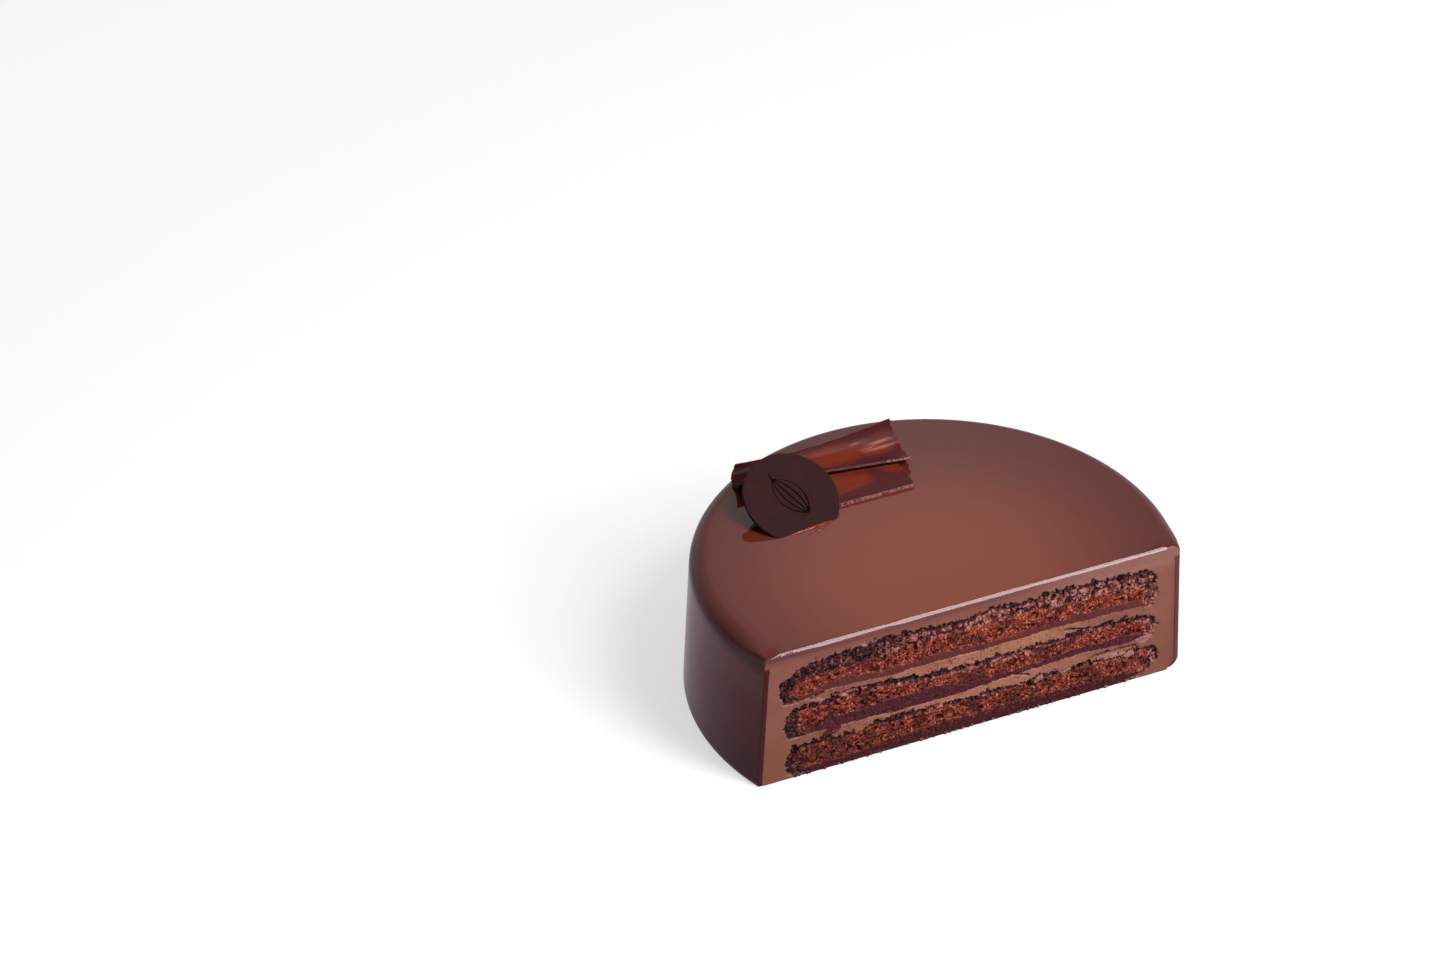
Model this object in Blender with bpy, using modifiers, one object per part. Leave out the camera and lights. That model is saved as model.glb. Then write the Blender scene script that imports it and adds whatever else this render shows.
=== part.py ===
"""Opera cake: the larger part of a round glazed layer cake, cut straight through in front of its middle.

Metres, +Z up. The cut face looks along -Y. The origin is on the underside, at the middle of the
whole part's length and depth. From outside to inside the cake is a glaze skin, a chocolate mousse
coat and an insert of three sponge discs with two cream fillings. A chocolate disc and two curled
strips of chocolate stand on the glaze.
"""

import math

import bmesh
import bpy
from mathutils import Matrix, Vector, noise

# The round cake before it was cut
BASE_RADIUS = 0.082
TOP_RADIUS = 0.080
HEIGHT = 0.051
RIM_ROUNDING = 0.0056
FOOT_ROUNDING = 0.0020
CUT_OFFSET = 0.029
AXIS_Y = (CUT_OFFSET - BASE_RADIUS) / 2
CUT_Y = AXIS_Y - CUT_OFFSET
ROUND_STEPS = 72
FIT_GAP = 0.0003

# Glaze skin
GLAZE_TOP = 0.0036
GLAZE_SIDE = 0.0014
GLAZE_LIFT = 0.0005

# Sponge and cream insert: its round, and where each layer ends in height
INSERT_RADIUS = 0.0738
INSERT_FOOT_RADIUS = 0.0690
INSERT_FOOT_HEIGHT = 0.0045
INSERT_CLEAR_TOP = 0.060
LAYER_STEP_X = 0.0055
WAVE_HEIGHT = 0.0007
WAVE_LENGTH = 0.017

# Height at the middle of the cake and slope towards +X of each face between two layers
LAYER_FACES = {
    "base": (0.0, 0.0),
    "sponge_bottom": (0.0127, 0.0),
    "cream_lower": (0.0161, 0.005),
    "sponge_middle": (0.0271, -0.007),
    "cream_upper": (0.0297, -0.013),
    "sponge_top": (0.0445, -0.006),
}

# Torn crumb on the sponge's cut
CRUMB_CELL = 0.0030
CRUMB_DEPTH = 0.0014
CRUMB_SIZE = 0.0042

# Chocolate disc: where its centre is, which way it faces and how far it leans back
PLAQUE_RADIUS = 0.0163
PLAQUE_THICKNESS = 0.0012
PLAQUE_EDGE = 0.00025
PLAQUE_CENTRE = (-0.0335, 0.0111, HEIGHT + 0.0066)
PLAQUE_FACING = math.radians(-5)
PLAQUE_LEAN = math.radians(33.5)
PLAQUE_STEPS = 64

# Curled strips of chocolate
BARK_THICKNESS = 0.0011
BARK_SEGMENTS_LONG = 10
BARK_SEGMENTS_ACROSS = 10
BARK_WAVE = 0.00025
BARK_ENDS = ("left", "right")
BARKS = {
    "bark_back": {
        "radius": (0.0080, 0.0108),
        "floor_y": (0.0276, 0.0262),
        "far_x": (-0.0439, 0.0147),
        "floor_x": (-0.0470, 0.0165),
        "near_x": (-0.0500, 0.0122),
        "far_height": (0.0080, 0.0080),
        "near_height": (0.0052, 0.0058),
    },
    "bark_front": {
        "radius": (0.0140, 0.0140),
        "floor_y": (0.0165, 0.0133),
        "far_x": (-0.0490, 0.0112),
        "floor_x": (-0.0510, 0.0108),
        "near_x": (-0.0515, 0.0093),
        "far_height": (0.0008, 0.0009),
        "near_height": (0.0011, 0.0016),
    },
}

# Sizes of the helper solids that cut the others
CUTTER_REACH = 0.20
CUTTER_DEPTH = 0.09

COLOURS = {
    "glaze": ((0.105, 0.036, 0.024), 0.12),
    "mousse": ((0.230, 0.098, 0.066), 0.45),
    "sponge": ((0.170, 0.052, 0.024), 0.90),
    "cream": ((0.270, 0.125, 0.080), 0.50),
    "plaque": ((0.030, 0.014, 0.015), 0.45),
    "bark": ((0.075, 0.016, 0.010), 0.25),
}


def clear_scene():
    for thing in list(bpy.data.objects):
        bpy.data.objects.remove(thing, do_unlink=True)


def collection_named(name):
    made = bpy.data.collections.new(name)
    bpy.context.scene.collection.children.link(made)
    return made


def material_named(name):
    colour, roughness = COLOURS[name]
    made = bpy.data.materials.new(name)
    made.use_nodes = True
    shader = made.node_tree.nodes["Principled BSDF"]
    shader.inputs["Base Color"].default_value = (*colour, 1.0)
    shader.inputs["Roughness"].default_value = roughness
    shader.inputs["Metallic"].default_value = 0.0
    made.diffuse_color = (*colour, 1.0)
    return made


def object_from(name, mesh, collection, material=None):
    made = bpy.data.objects.new(name, mesh)
    collection.objects.link(made)
    if material:
        mesh.materials.append(material)
    return made


def as_helper(thing):
    thing.hide_render = True
    thing.display_type = "WIRE"
    return thing


def boolean(thing, other, operation):
    modifier = thing.modifiers.new(f"{operation.lower()} {other.name}", "BOOLEAN")
    modifier.operation = operation
    modifier.solver = "EXACT"
    modifier.object = other


def turned(name, profile, collection, material=None):
    """Spins an outline of (radius, height) points about the cake's axis. The outline starts and ends on the axis."""
    mesh = bpy.data.meshes.new(name)
    mesh.from_pydata([(r, 0.0, z) for r, z in profile], [(i, i + 1) for i in range(len(profile) - 1)], [])
    thing = object_from(name, mesh, collection, material)
    thing.location = (0.0, AXIS_Y, 0.0)
    screw = thing.modifiers.new("turn", "SCREW")
    screw.steps = ROUND_STEPS
    screw.render_steps = ROUND_STEPS
    screw.use_merge_vertices = True
    screw.merge_threshold = 0.00001
    screw.use_smooth_shade = True
    return thing


def arc(centre_r, centre_z, radius, start, end, count):
    """Points of a quarter round in the outline of a turned shape, angles in degrees from +radius towards +Z."""
    steps = [math.radians(start + (end - start) * i / (count - 1)) for i in range(count)]
    return [(centre_r + radius * math.cos(a), centre_z + radius * math.sin(a)) for a in steps]


def outer_outline(inset_side, inset_top, bottom):
    """The outside of the cake from the axis on top down to the foot, moved in by a skin's thickness."""
    rim = RIM_ROUNDING - inset_side
    foot = FOOT_ROUNDING
    top = HEIGHT - inset_top
    top_radius = TOP_RADIUS - inset_side
    base_radius = BASE_RADIUS - inset_side
    outline = [(0.0, top)]
    outline += arc(top_radius - rim, top - rim, rim, 90, 0, 6)
    outline += arc(base_radius - foot, bottom + foot, foot, 0, -90, 4)
    return outline


def glaze_outline():
    """The skin: down the outside, across its lower edge, and back up just clear of the mousse."""
    outside = outer_outline(0.0, 0.0, GLAZE_LIFT)[:-1]
    mousse_foot_r = BASE_RADIUS - GLAZE_SIDE - FIT_GAP - FOOT_ROUNDING
    inner_foot = arc(mousse_foot_r, FOOT_ROUNDING, FOOT_ROUNDING + FIT_GAP, -40, 0, 3)
    inner_wall = outer_outline(GLAZE_SIDE, GLAZE_TOP, GLAZE_LIFT)[:-4]
    return outside + inner_foot + inner_wall[::-1]


def mousse_outline():
    inside_of_glaze = outer_outline(GLAZE_SIDE + FIT_GAP, GLAZE_TOP + FIT_GAP, 0.0)
    return inside_of_glaze + [(0.0, 0.0)]


def insert_outline(gap):
    """The round of the insert, drawn in at the foot where the mousse wraps under it."""
    return [
        (0.0, INSERT_CLEAR_TOP),
        (INSERT_RADIUS + gap, INSERT_CLEAR_TOP),
        (INSERT_RADIUS + gap, INSERT_FOOT_HEIGHT),
        (INSERT_FOOT_RADIUS + gap, -HEIGHT),
        (0.0, -HEIGHT),
    ]


def layer_height(face, x, y):
    """Height of the face above a layer: a slope and a slow wave, flat on the underside of the cake."""
    height, slope = LAYER_FACES[face]
    if face == "base":
        return height
    seed = height * 1000
    wave = noise.noise(Vector((x / WAVE_LENGTH, y / (3 * WAVE_LENGTH), seed)))
    return height + slope * x + WAVE_HEIGHT * wave


def layer_slab(name, lower, upper, collection, material=None, lower_gap=0.0, upper_gap=0.0):
    """A slab between two layer faces, larger than the cake, to be trimmed to the insert's round."""
    cells_x = round(2 * BASE_RADIUS / LAYER_STEP_X)
    half_depth = BASE_RADIUS + CUT_OFFSET
    shape = bmesh.new()
    bmesh.ops.create_grid(shape, x_segments=cells_x, y_segments=3, size=1.0)
    for vertex in shape.verts:
        vertex.co.x *= BASE_RADIUS
        vertex.co.y *= half_depth
    pulled = bmesh.ops.extrude_face_region(shape, geom=shape.faces[:])
    raised = {item for item in pulled["geom"] if isinstance(item, bmesh.types.BMVert)}
    for vertex in shape.verts:
        x, y = vertex.co.x, vertex.co.y
        if vertex in raised:
            vertex.co.z = layer_height(upper, x, y) - upper_gap
        else:
            vertex.co.z = layer_height(lower, x, y) + lower_gap
    bmesh.ops.recalc_face_normals(shape, faces=shape.faces[:])
    mesh = bpy.data.meshes.new(name)
    shape.to_mesh(mesh)
    shape.free()
    return object_from(name, mesh, collection, material)


def crumb_depth(x, z):
    """How far the torn crumb lies behind the knife's plane, between nothing and CRUMB_DEPTH."""
    near = noise.noise(Vector((x / CRUMB_SIZE, 3.7, z / CRUMB_SIZE)))
    fine = noise.noise(Vector((2.3 * x / CRUMB_SIZE, 9.1, 2.3 * z / CRUMB_SIZE)))
    rough = 0.5 + 0.55 * near + 0.35 * fine
    return CRUMB_DEPTH * min(max(rough, 0.0), 1.0) + FIT_GAP / 3


def front_cutter(name, collection, crumbly):
    """Takes away everything in front of the cut. The crumbly one leaves a torn face behind."""
    high = HEIGHT + CUTTER_DEPTH / 2
    cells_x = round(CUTTER_REACH / CRUMB_CELL) if crumbly else 1
    cells_z = round(2 * high / CRUMB_CELL) if crumbly else 1
    shape = bmesh.new()
    bmesh.ops.create_grid(shape, x_segments=cells_x, y_segments=cells_z, size=1.0)
    for vertex in shape.verts:
        x = vertex.co.x * CUTTER_REACH / 2
        z = vertex.co.y * high
        depth = crumb_depth(x, z) if crumbly else 0.0
        vertex.co = (x, CUT_Y + depth, z)
    pulled = bmesh.ops.extrude_face_region(shape, geom=shape.faces[:])
    for item in pulled["geom"]:
        if isinstance(item, bmesh.types.BMVert):
            item.co.y = CUT_Y - CUTTER_DEPTH
    bmesh.ops.recalc_face_normals(shape, faces=shape.faces[:])
    mesh = bpy.data.meshes.new(name)
    shape.to_mesh(mesh)
    shape.free()
    return as_helper(object_from(name, mesh, collection))


def plaque_matrix():
    lean = Matrix.Rotation(PLAQUE_LEAN, 4, "X")
    facing = Matrix.Rotation(PLAQUE_FACING, 4, "Z")
    return Matrix.Translation(PLAQUE_CENTRE) @ facing @ lean


def plaque_disc(name, radius, thickness, collection, material=None):
    shape = bmesh.new()
    bmesh.ops.create_cone(
        shape, cap_ends=True, segments=PLAQUE_STEPS, radius1=radius, radius2=radius, depth=thickness
    )
    mesh = bpy.data.meshes.new(name)
    shape.to_mesh(mesh)
    shape.free()
    disc = object_from(name, mesh, collection, material)
    disc.matrix_world = plaque_matrix()
    return disc


def between(pair, share):
    return pair[0] + (pair[1] - pair[0]) * share


def bark_point(sizes, along, across):
    """A point of the strip's middle surface: along from left to right, across from the far to the near edge."""
    radius = between(sizes["radius"], along)
    far_angle = math.acos(1 - between(sizes["far_height"], along) / radius)
    near_angle = math.acos(1 - between(sizes["near_height"], along) / radius)
    angle = far_angle - (far_angle + near_angle) * across
    far_x = between(sizes["far_x"], along)
    floor_x = between(sizes["floor_x"], along)
    near_x = between(sizes["near_x"], along)
    if across < 0.5:
        x = far_x + (floor_x - far_x) * math.sin(math.pi * across)
    else:
        x = near_x + (floor_x - near_x) * math.sin(math.pi * across)
    rest = HEIGHT + FIT_GAP + BARK_THICKNESS / 2
    ripple = BARK_WAVE * (1 + noise.noise(Vector((40 * along, 5 * across, radius * 1000)) / 6))
    y = between(sizes["floor_y"], along) + radius * math.sin(angle)
    z = rest + ripple + radius * (1 - math.cos(angle))
    return Vector((x, y, z))


def bark(name, collection, material):
    """A curled strip: an open sheet bent to a gutter, then given its thickness."""
    shape = bmesh.new()
    bmesh.ops.create_grid(shape, x_segments=BARK_SEGMENTS_LONG, y_segments=BARK_SEGMENTS_ACROSS, size=0.5)
    for vertex in shape.verts:
        vertex.co = bark_point(BARKS[name], vertex.co.x + 0.5, 0.5 - vertex.co.y)
    mesh = bpy.data.meshes.new(name)
    shape.to_mesh(mesh)
    shape.free()
    mesh.shade_smooth()
    strip = object_from(name, mesh, collection, material)
    wall = strip.modifiers.new("thickness", "SOLIDIFY")
    wall.thickness = BARK_THICKNESS
    wall.offset = 0.0
    return strip


def build_glaze(cake, helpers, straight_cut):
    glaze = turned("glaze", glaze_outline(), cake, material_named("glaze"))
    slot = plaque_disc("plaque_slot", PLAQUE_RADIUS + FIT_GAP, PLAQUE_THICKNESS + 2 * FIT_GAP, helpers)
    boolean(glaze, straight_cut, "DIFFERENCE")
    boolean(glaze, as_helper(slot), "DIFFERENCE")


def build_mousse(cake, helpers, straight_cut):
    mousse = turned("mousse", mousse_outline(), cake, material_named("mousse"))
    hollow = layer_slab("insert_hollow", "base", "sponge_top", helpers, upper_gap=-FIT_GAP)
    for vertex in hollow.data.vertices:
        if abs(vertex.co.z) < FIT_GAP / 10:
            vertex.co.z = -HEIGHT / 2
    envelope = as_helper(turned("insert_hollow_round", insert_outline(FIT_GAP), helpers))
    boolean(as_helper(hollow), envelope, "INTERSECT")
    boolean(mousse, hollow, "DIFFERENCE")
    boolean(mousse, straight_cut, "DIFFERENCE")


def build_layers(cake, helpers, straight_cut):
    """Three sponges and two creams between the layer faces, each a hair thinner than its place."""
    crumbly_cut = front_cutter("crumb_cut", helpers, crumbly=True)
    envelope = as_helper(turned("insert_round", insert_outline(0.0), helpers))
    sponge = material_named("sponge")
    cream = material_named("cream")
    faces = list(LAYER_FACES)
    for lower, name in zip(faces, faces[1:]):
        is_sponge = name.startswith("sponge")
        lower_gap = 0.0 if lower == "base" else FIT_GAP / 2
        layer = layer_slab(name, lower, name, cake, sponge if is_sponge else cream, lower_gap, FIT_GAP / 2)
        boolean(layer, envelope, "INTERSECT")
        boolean(layer, crumbly_cut if is_sponge else straight_cut, "DIFFERENCE")


def build_plaque(cake):
    plaque = plaque_disc("plaque", PLAQUE_RADIUS, PLAQUE_THICKNESS, cake, material_named("plaque"))
    edge = plaque.modifiers.new("soft edge", "BEVEL")
    edge.width = PLAQUE_EDGE
    edge.segments = 2


def main():
    clear_scene()
    cake = collection_named("opera_cake")
    helpers = collection_named("cutters")
    straight_cut = front_cutter("straight_cut", helpers, crumbly=False)
    build_glaze(cake, helpers, straight_cut)
    build_mousse(cake, helpers, straight_cut)
    build_layers(cake, helpers, straight_cut)
    build_plaque(cake)
    bark_material = material_named("bark")
    for name in BARKS:
        bark(name, cake, bark_material)


main()
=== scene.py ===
"""Looks of a glazed opera cake, cut straight through in front of its middle.

The cut face is one fine grid: each of its cells belongs to the mousse, a sponge or a cream, and every
layer is pulled back from it into the round. The glaze, the chocolate disc and the strips go on top.
"""

import math

import bmesh
import bpy
import numpy as np
from bpy.props import FloatProperty, FloatVectorProperty, IntProperty, PointerProperty
from bpy.types import Operator, Panel, PropertyGroup
from mathutils import Matrix, Vector, noise


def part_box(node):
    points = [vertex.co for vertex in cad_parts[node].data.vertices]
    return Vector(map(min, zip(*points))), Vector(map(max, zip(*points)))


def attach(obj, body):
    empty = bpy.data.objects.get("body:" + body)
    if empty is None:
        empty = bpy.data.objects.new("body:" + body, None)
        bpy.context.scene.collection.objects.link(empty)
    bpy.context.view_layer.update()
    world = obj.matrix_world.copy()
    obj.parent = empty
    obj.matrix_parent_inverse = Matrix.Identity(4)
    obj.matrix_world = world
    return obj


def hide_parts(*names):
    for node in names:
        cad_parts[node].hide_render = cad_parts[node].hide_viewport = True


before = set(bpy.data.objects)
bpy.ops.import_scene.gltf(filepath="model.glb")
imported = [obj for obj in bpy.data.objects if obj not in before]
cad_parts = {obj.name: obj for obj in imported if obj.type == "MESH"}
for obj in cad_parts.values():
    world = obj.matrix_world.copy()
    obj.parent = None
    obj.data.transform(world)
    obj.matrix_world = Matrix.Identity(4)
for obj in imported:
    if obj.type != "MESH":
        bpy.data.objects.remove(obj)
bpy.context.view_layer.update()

bl_info = {
    "name": "Opera Cake",
    "version": (1, 0, 0),
    "blender": (4, 5, 0),
    "location": "3D View > Sidebar > Opera Cake",
    "description": "Builds the looks of a cut, glazed opera cake round its solid model",
    "category": "Add Mesh",
}

MM = 0.001
GLAZE_LOW, GLAZE_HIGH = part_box("glaze")
HEIGHT = GLAZE_HIGH.z
BASE_RADIUS = (GLAZE_HIGH.x - GLAZE_LOW.x) / 2
CUT_Y = GLAZE_LOW.y
AXIS_Y = GLAZE_HIGH.y - BASE_RADIUS
CUT_OFFSET = AXIS_Y - CUT_Y

# Squares of a noise table each way, and the height of what stands just clear of the floor
TABLE_SIZE = 64
JUST_CLEAR = 0.00006

# Middle of the painted light on the top's glaze, and the distances from there over which painted shade
# darkens it
PAINTED_LIGHT_MIDDLE = (-0.005, -0.034, HEIGHT)
PAINTED_SHADE_REACH = (0.018, 0.084)

# Steps of the glaze round the cake and of its rounded edge, and the vertices of a loose crumb
ROUND_STEPS = 180
RIM_STEPS = 12
CRUMB_VERTICES = 42

# Loose crumbs along the foot of the cut, and on each sponge's top
FOOT_CRUMBS = 60
SPONGE_CRUMBS = 34

# Lights and camera in metres: where each stands and where it looks
CARD_VIEW = ((0.185, 0.375, 0.335), (0.012, -0.005, HEIGHT))
KEY_VIEW = ((0.44, -0.81, 0.92), (0, -0.03, 0.03))
CAMERA_VIEW = ((-0.56016, -1.08492, 0.92122), (-0.016673, 0.105022, 0.0))
BRIGHT_SIDE = (0.80, 0.55, 0.25)

# Layers of the cut face, by the number that a cell of its grid holds
MOUSSE, SPONGE_BOTTOM, CREAM_LOWER, SPONGE_MIDDLE, CREAM_UPPER, SPONGE_TOP = range(6)
LAYER_NODES = ("mousse", "sponge_bottom", "cream_lower", "sponge_middle", "cream_upper", "sponge_top")
SPONGES = (SPONGE_BOTTOM, SPONGE_MIDDLE, SPONGE_TOP)

# Outlines of the sponges on the cut face, in mm: (along, height) for the lines that run along the cake
# and (height, along) for the ends. "seep" tops the dark smooth band at a sponge's foot, and "crust" is
# the lower limit of the dark wet crust on it.
SPONGE_LINES = {
    SPONGE_BOTTOM: {
        "foot": ((-80, -1.0), (80, -1.0)),
        "seep": ((-67, 1.5), (-60, 2.6), (-50, 2.2), (-40, 2.6), (-30, 3.8), (-10, 4.9), (0, 4.1),
                 (20, 5.0), (30, 4.5), (40, 3.4), (50, 4.5), (60, 2.9), (69, 2.0)),
        "crust": ((-67, 11.0), (-45, 10.4), (-35, 11.4), (-12, 11.0), (0, 10.6), (20, 10.2), (40, 10.8),
                  (69, 10.2)),
        "top": ((-67, 10.5), (-65, 11.9), (-60, 12.0), (-42, 11.6), (-35, 13.1), (-20, 13.1), (-12, 12.8),
                (0, 12.1), (10, 12.2), (20, 11.8), (30, 12.4), (60, 12.4), (66, 11.8), (69, 9.5)),
        "left": ((0, -64), (3, -66), (9, -66.6), (12, -65)),
        "right": ((0, 62), (3, 65), (6, 68.5), (9, 69), (12, 66)),
    },
    SPONGE_MIDDLE: {
        "foot": ((-68, 16.5), (-66, 15.4), (-60, 15.8), (-40, 15.7), (-30, 15.0), (-10, 14.8), (0, 15.2),
                 (10, 15.8), (30, 16.5), (40, 16.9), (50, 16.1), (60, 15.5), (68, 16.5)),
        "seep": ((-68, 16.5), (-58, 16.5), (-52, 19.8), (-40, 19.7), (-30, 20.2), (-20, 20.8), (-10, 19.8),
                 (-4, 18.2), (0, 17.7), (20, 17.8), (30, 18.4), (40, 19.3), (50, 19.2), (60, 18.0),
                 (68, 17.0)),
        "crust": ((-68, 30.0), (-64, 27.0), (-60, 26.2), (-40, 26.7), (-30, 25.7), (-20, 23.8), (-10, 23.1),
                  (0, 22.7), (20, 22.9), (30, 24.2), (40, 24.8), (50, 24.5), (60, 23.5), (68, 20.0)),
        "top": ((-68, 24.0), (-66, 26.8), (-60, 27.3), (-50, 28.1), (-40, 28.1), (-30, 27.8), (-20, 27.1),
                (-10, 25.8), (0, 25.8), (20, 26.0), (30, 25.5), (40, 26.5), (50, 26.5), (60, 25.3),
                (65, 24.0), (68, 21.0)),
        "left": ((15.5, -66.5), (20, -67.6), (25, -67.0), (27.5, -64.0)),
        "right": ((16, 65.5), (19, 67.5), (22, 67.6), (25, 64.5)),
    },
    SPONGE_TOP: {
        "foot": ((-69, 29.8), (-62, 29.9), (-55, 31.0), (-50, 31.6), (-40, 31.1), (-30, 30.3), (-20, 30.7),
                 (0, 30.1), (20, 30.4), (30, 30.8), (40, 30.1), (50, 30.0), (60, 29.3), (66, 28.2)),
        "seep": ((-69, 30.5), (-60, 32.0), (-55, 33.5), (-50, 34.7), (-45, 34.9), (-40, 33.6), (-33, 32.3),
                 (-25, 32.8), (-15, 33.5), (0, 32.0), (20, 32.4), (30, 33.1), (40, 33.2), (50, 33.0),
                 (66, 31.0)),
        "crust": ((-69, 41.0), (-66, 38.0), (-50, 38.2), (-40, 38.8), (-30, 38.4), (-20, 39.3), (0, 39.8),
                  (20, 39.1), (30, 38.8), (40, 38.0), (50, 38.3), (60, 36.2), (66, 34.0)),
        "top": ((-69, 38.3), (-66, 40.6), (-63, 43.4), (-58, 44.8), (-51, 44.6), (-46, 45.1), (-38, 46.0),
                (-32, 45.6), (-21, 45.8), (-13, 44.9), (0, 44.6), (6, 45.9), (13, 45.2), (19, 44.9),
                (28, 45.6), (33, 45.2), (48, 45.1), (56, 43.6), (63, 43.4), (66, 41.5)),
        "left": ((29.5, -68.2), (33, -69.0), (37, -69.3), (39, -68.2), (41, -65.8), (43.5, -63.0)),
        "right": ((28, 66.0), (34, 66.3), (40, 66.0), (42, 64.8), (43.4, 62.5)),
    },
}
CREAM_SPANS = {CREAM_LOWER: (-50.5, 62.0, 10.0, 18.0), CREAM_UPPER: (-61.0, 62.0, 24.0, 32.5)}

# A bridge of torn crumb across the lower cream, as the two ends of its middle line and its half width
CRUMB_BRIDGE = ((-49.5, 16.5), (-53.5, 11.0), 1.7)

# Cracks between cream and crumb, recessed and darkened with painted shade: two ends and half width
CRACKS = (
    ((-51.0, 29.0), (-40.5, 28.7), 0.35),
    ((-41.0, 28.8), (-31.0, 27.9), 0.35),
    ((33.5, 28.6), (38.0, 27.4), 0.40),
    ((38.0, 27.4), (42.5, 26.3), 0.30),
    ((43.5, 14.1), (52.0, 14.4), 0.35),
    ((52.0, 14.4), (60.0, 13.9), 0.30),
    ((-30.0, 27.0), (-16.0, 24.8), 0.40),
    ((45.0, 25.6), (50.0, 26.2), 0.90),
    ((14.5, 16.6), (20.5, 14.3), 0.28),
    ((-58.0, 29.7), (-54.0, 30.9), 0.30),
)

# Cream smeared over crumb by the knife: middle, half length, half height and slope
SMEARS = (
    (51.5, 12.6, 6.6, 1.25, -0.02),
    (57.5, 11.0, 2.2, 1.3, 0.10),
    (63.0, 15.6, 3.4, 1.3, 0.10),
    (-55.5, 28.8, 2.6, 0.75, -0.25),
    (-46.2, 27.5, 1.7, 0.60, -0.05),
    (-39.7, 45.4, 1.6, 0.75, -0.45),
    (-12.0, 11.9, 1.6, 0.55, -0.10),
    (24.0, 11.4, 1.6, 1.1, 0.50),
    (34.0, 11.6, 2.4, 0.6, 0.20),
)


def number(name, description, default, least=0.0, unit="NONE"):
    return FloatProperty(name=name, description=description, default=default, min=least, unit=unit)


def length(name, description, default):
    return number(name, description, default, unit="LENGTH")


class CakeSizes(PropertyGroup):
    top_radius: length("Top Radius", "Radius of the glazed top", 0.080)
    rim_rounding: length("Rim Rounding", "Radius of the glazed top edge", 0.0056)
    corner_rounding: length("Corner Rounding", "Radius of the top edge at the cut's left end", 0.0018)
    right_rounding: length("Right Rounding", "Radius of the top edge at the cut's right end", 0.0034)
    glaze_top: length("Glaze on Top", "Thickness of the glaze on the top", 0.0034)
    glaze_side: length("Glaze on the Side", "Thickness of the glaze on the side", 0.0014)
    bead: length("Cut Bead", "Width of the glossy edge that the knife left on the top", 0.0009)
    insert_radius: length("Insert Radius", "Radius of the sponge and cream insert", 0.0738)
    cell: length("Crumb Cell", "Size of a cell of the cut face's grid", 0.00021)
    crumb_depth: length("Crumb Depth", "How deep the torn crumb's pores go", 0.0019)
    rings: IntProperty(name="Rings", description="Steps of each layer round the back", default=18, min=6)


def linear(red, green, blue):
    """Scene colour of an 8-bit screen colour."""
    shares = [value / 255 for value in (red, green, blue)]
    return tuple(s / 12.92 if s <= 0.04045 else ((s + 0.055) / 1.055) ** 2.4 for s in shares)


def colour(name, description, screen):
    return FloatVectorProperty(
        name=name, description=description, subtype="COLOR", size=3, min=0, max=1, default=linear(*screen)
    )


class CakeColours(PropertyGroup):
    glaze: colour("Glaze", "Body colour of the chocolate glaze", (122, 52, 32))
    # Painted shade: the top's glaze darkened towards the rim, away from the middle of the painted light
    glaze_painted_shade: colour("Deep Glaze", "Glaze towards the rim", (84, 30, 25))
    glaze_side: colour("Side Glaze", "Glaze down the side", (122, 42, 34))
    # Painted shade: the side's glaze darkened towards its foot
    glaze_painted_foot_shade: colour("Glaze Foot", "Glaze at the foot of the side", (84, 26, 22))
    skin_right: colour("Right Skin", "Cut edge of the glaze on the right", (112, 58, 54))
    glaze_skin: colour("Glaze Skin", "Cut edge of the glaze on the side", (78, 22, 18))
    glaze_cut: colour("Cut Glaze", "Glaze over the mousse, where the knife cut it", (118, 68, 66))
    mousse: colour("Mousse", "Cut chocolate mousse", (150, 93, 79))
    mousse_edge: colour("Mousse Edge", "Mousse stained by the glaze", (120, 66, 58))
    mousse_low: colour("Low Mousse", "Mousse towards the foot", (141, 87, 66))
    # Real smeared cream, also used for painted highlight on the cut's top right and the strips, and painted
    # reflection on the glaze's side
    film: colour("Cream Film", "Pale cream that the knife smeared", (184, 136, 128))
    cream: colour("Cream", "Cream filling at the middle of the cake", (184, 122, 97))
    crumb: colour("Crumb", "Torn sponge crumb", (148, 62, 46))
    # Painted highlight on the crumb's crests, mixed with random light specks
    crumb_specks_and_highlight: colour("Light Crumb", "Brightest specks of the crumb", (230, 130, 100))
    crumb_shade: colour("Brown Crumb", "Moister crumb", (84, 38, 38))
    # Painted shade in the crumb's pores, clefts, holes and cracks
    crumb_pore_shade: colour("Crumb Pore", "Inside of the crumb's pores", (46, 16, 12))
    crust: colour("Soaked Crust", "Wet dark crust on the sponge", (146, 72, 66))
    # Painted highlight on the crust's raised grains
    crust_highlight: colour("Lit Crust", "Raised grains of the crust", (204, 136, 126))
    # Dark grains of the crust, also painted shade in its clefts
    crust_dark_and_cleft_shade: colour("Dark Crust", "Black-brown grains of the crust", (56, 20, 22))
    seep: colour("Soaked Foot", "Smooth dark band at the sponge's foot", (96, 40, 50))
    seep_top: colour("Brown Foot", "Foot of the topmost sponge", (108, 52, 44))
    seep_low: colour("Wet Foot", "Foot of the lowest sponge", (72, 28, 32))
    disc: colour("Disc", "Dark chocolate disc", (55, 32, 33))
    print_ink: colour("Disc Print", "Cocoa pod drawn on the disc", (22, 12, 13))
    bark: colour("Strip", "Thin, orange-brown part of the strip", (116, 44, 26))
    bark_dark: colour("Dark Strip", "Thick, dark red part of the strip", (80, 32, 34))
    # Pale broken edge of the strips, partly a painted highlight, and painted glints on the sponge's crust
    pale_break_and_glint: colour("Strip Break", "Broken edge of the strip", (150, 108, 108))


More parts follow.
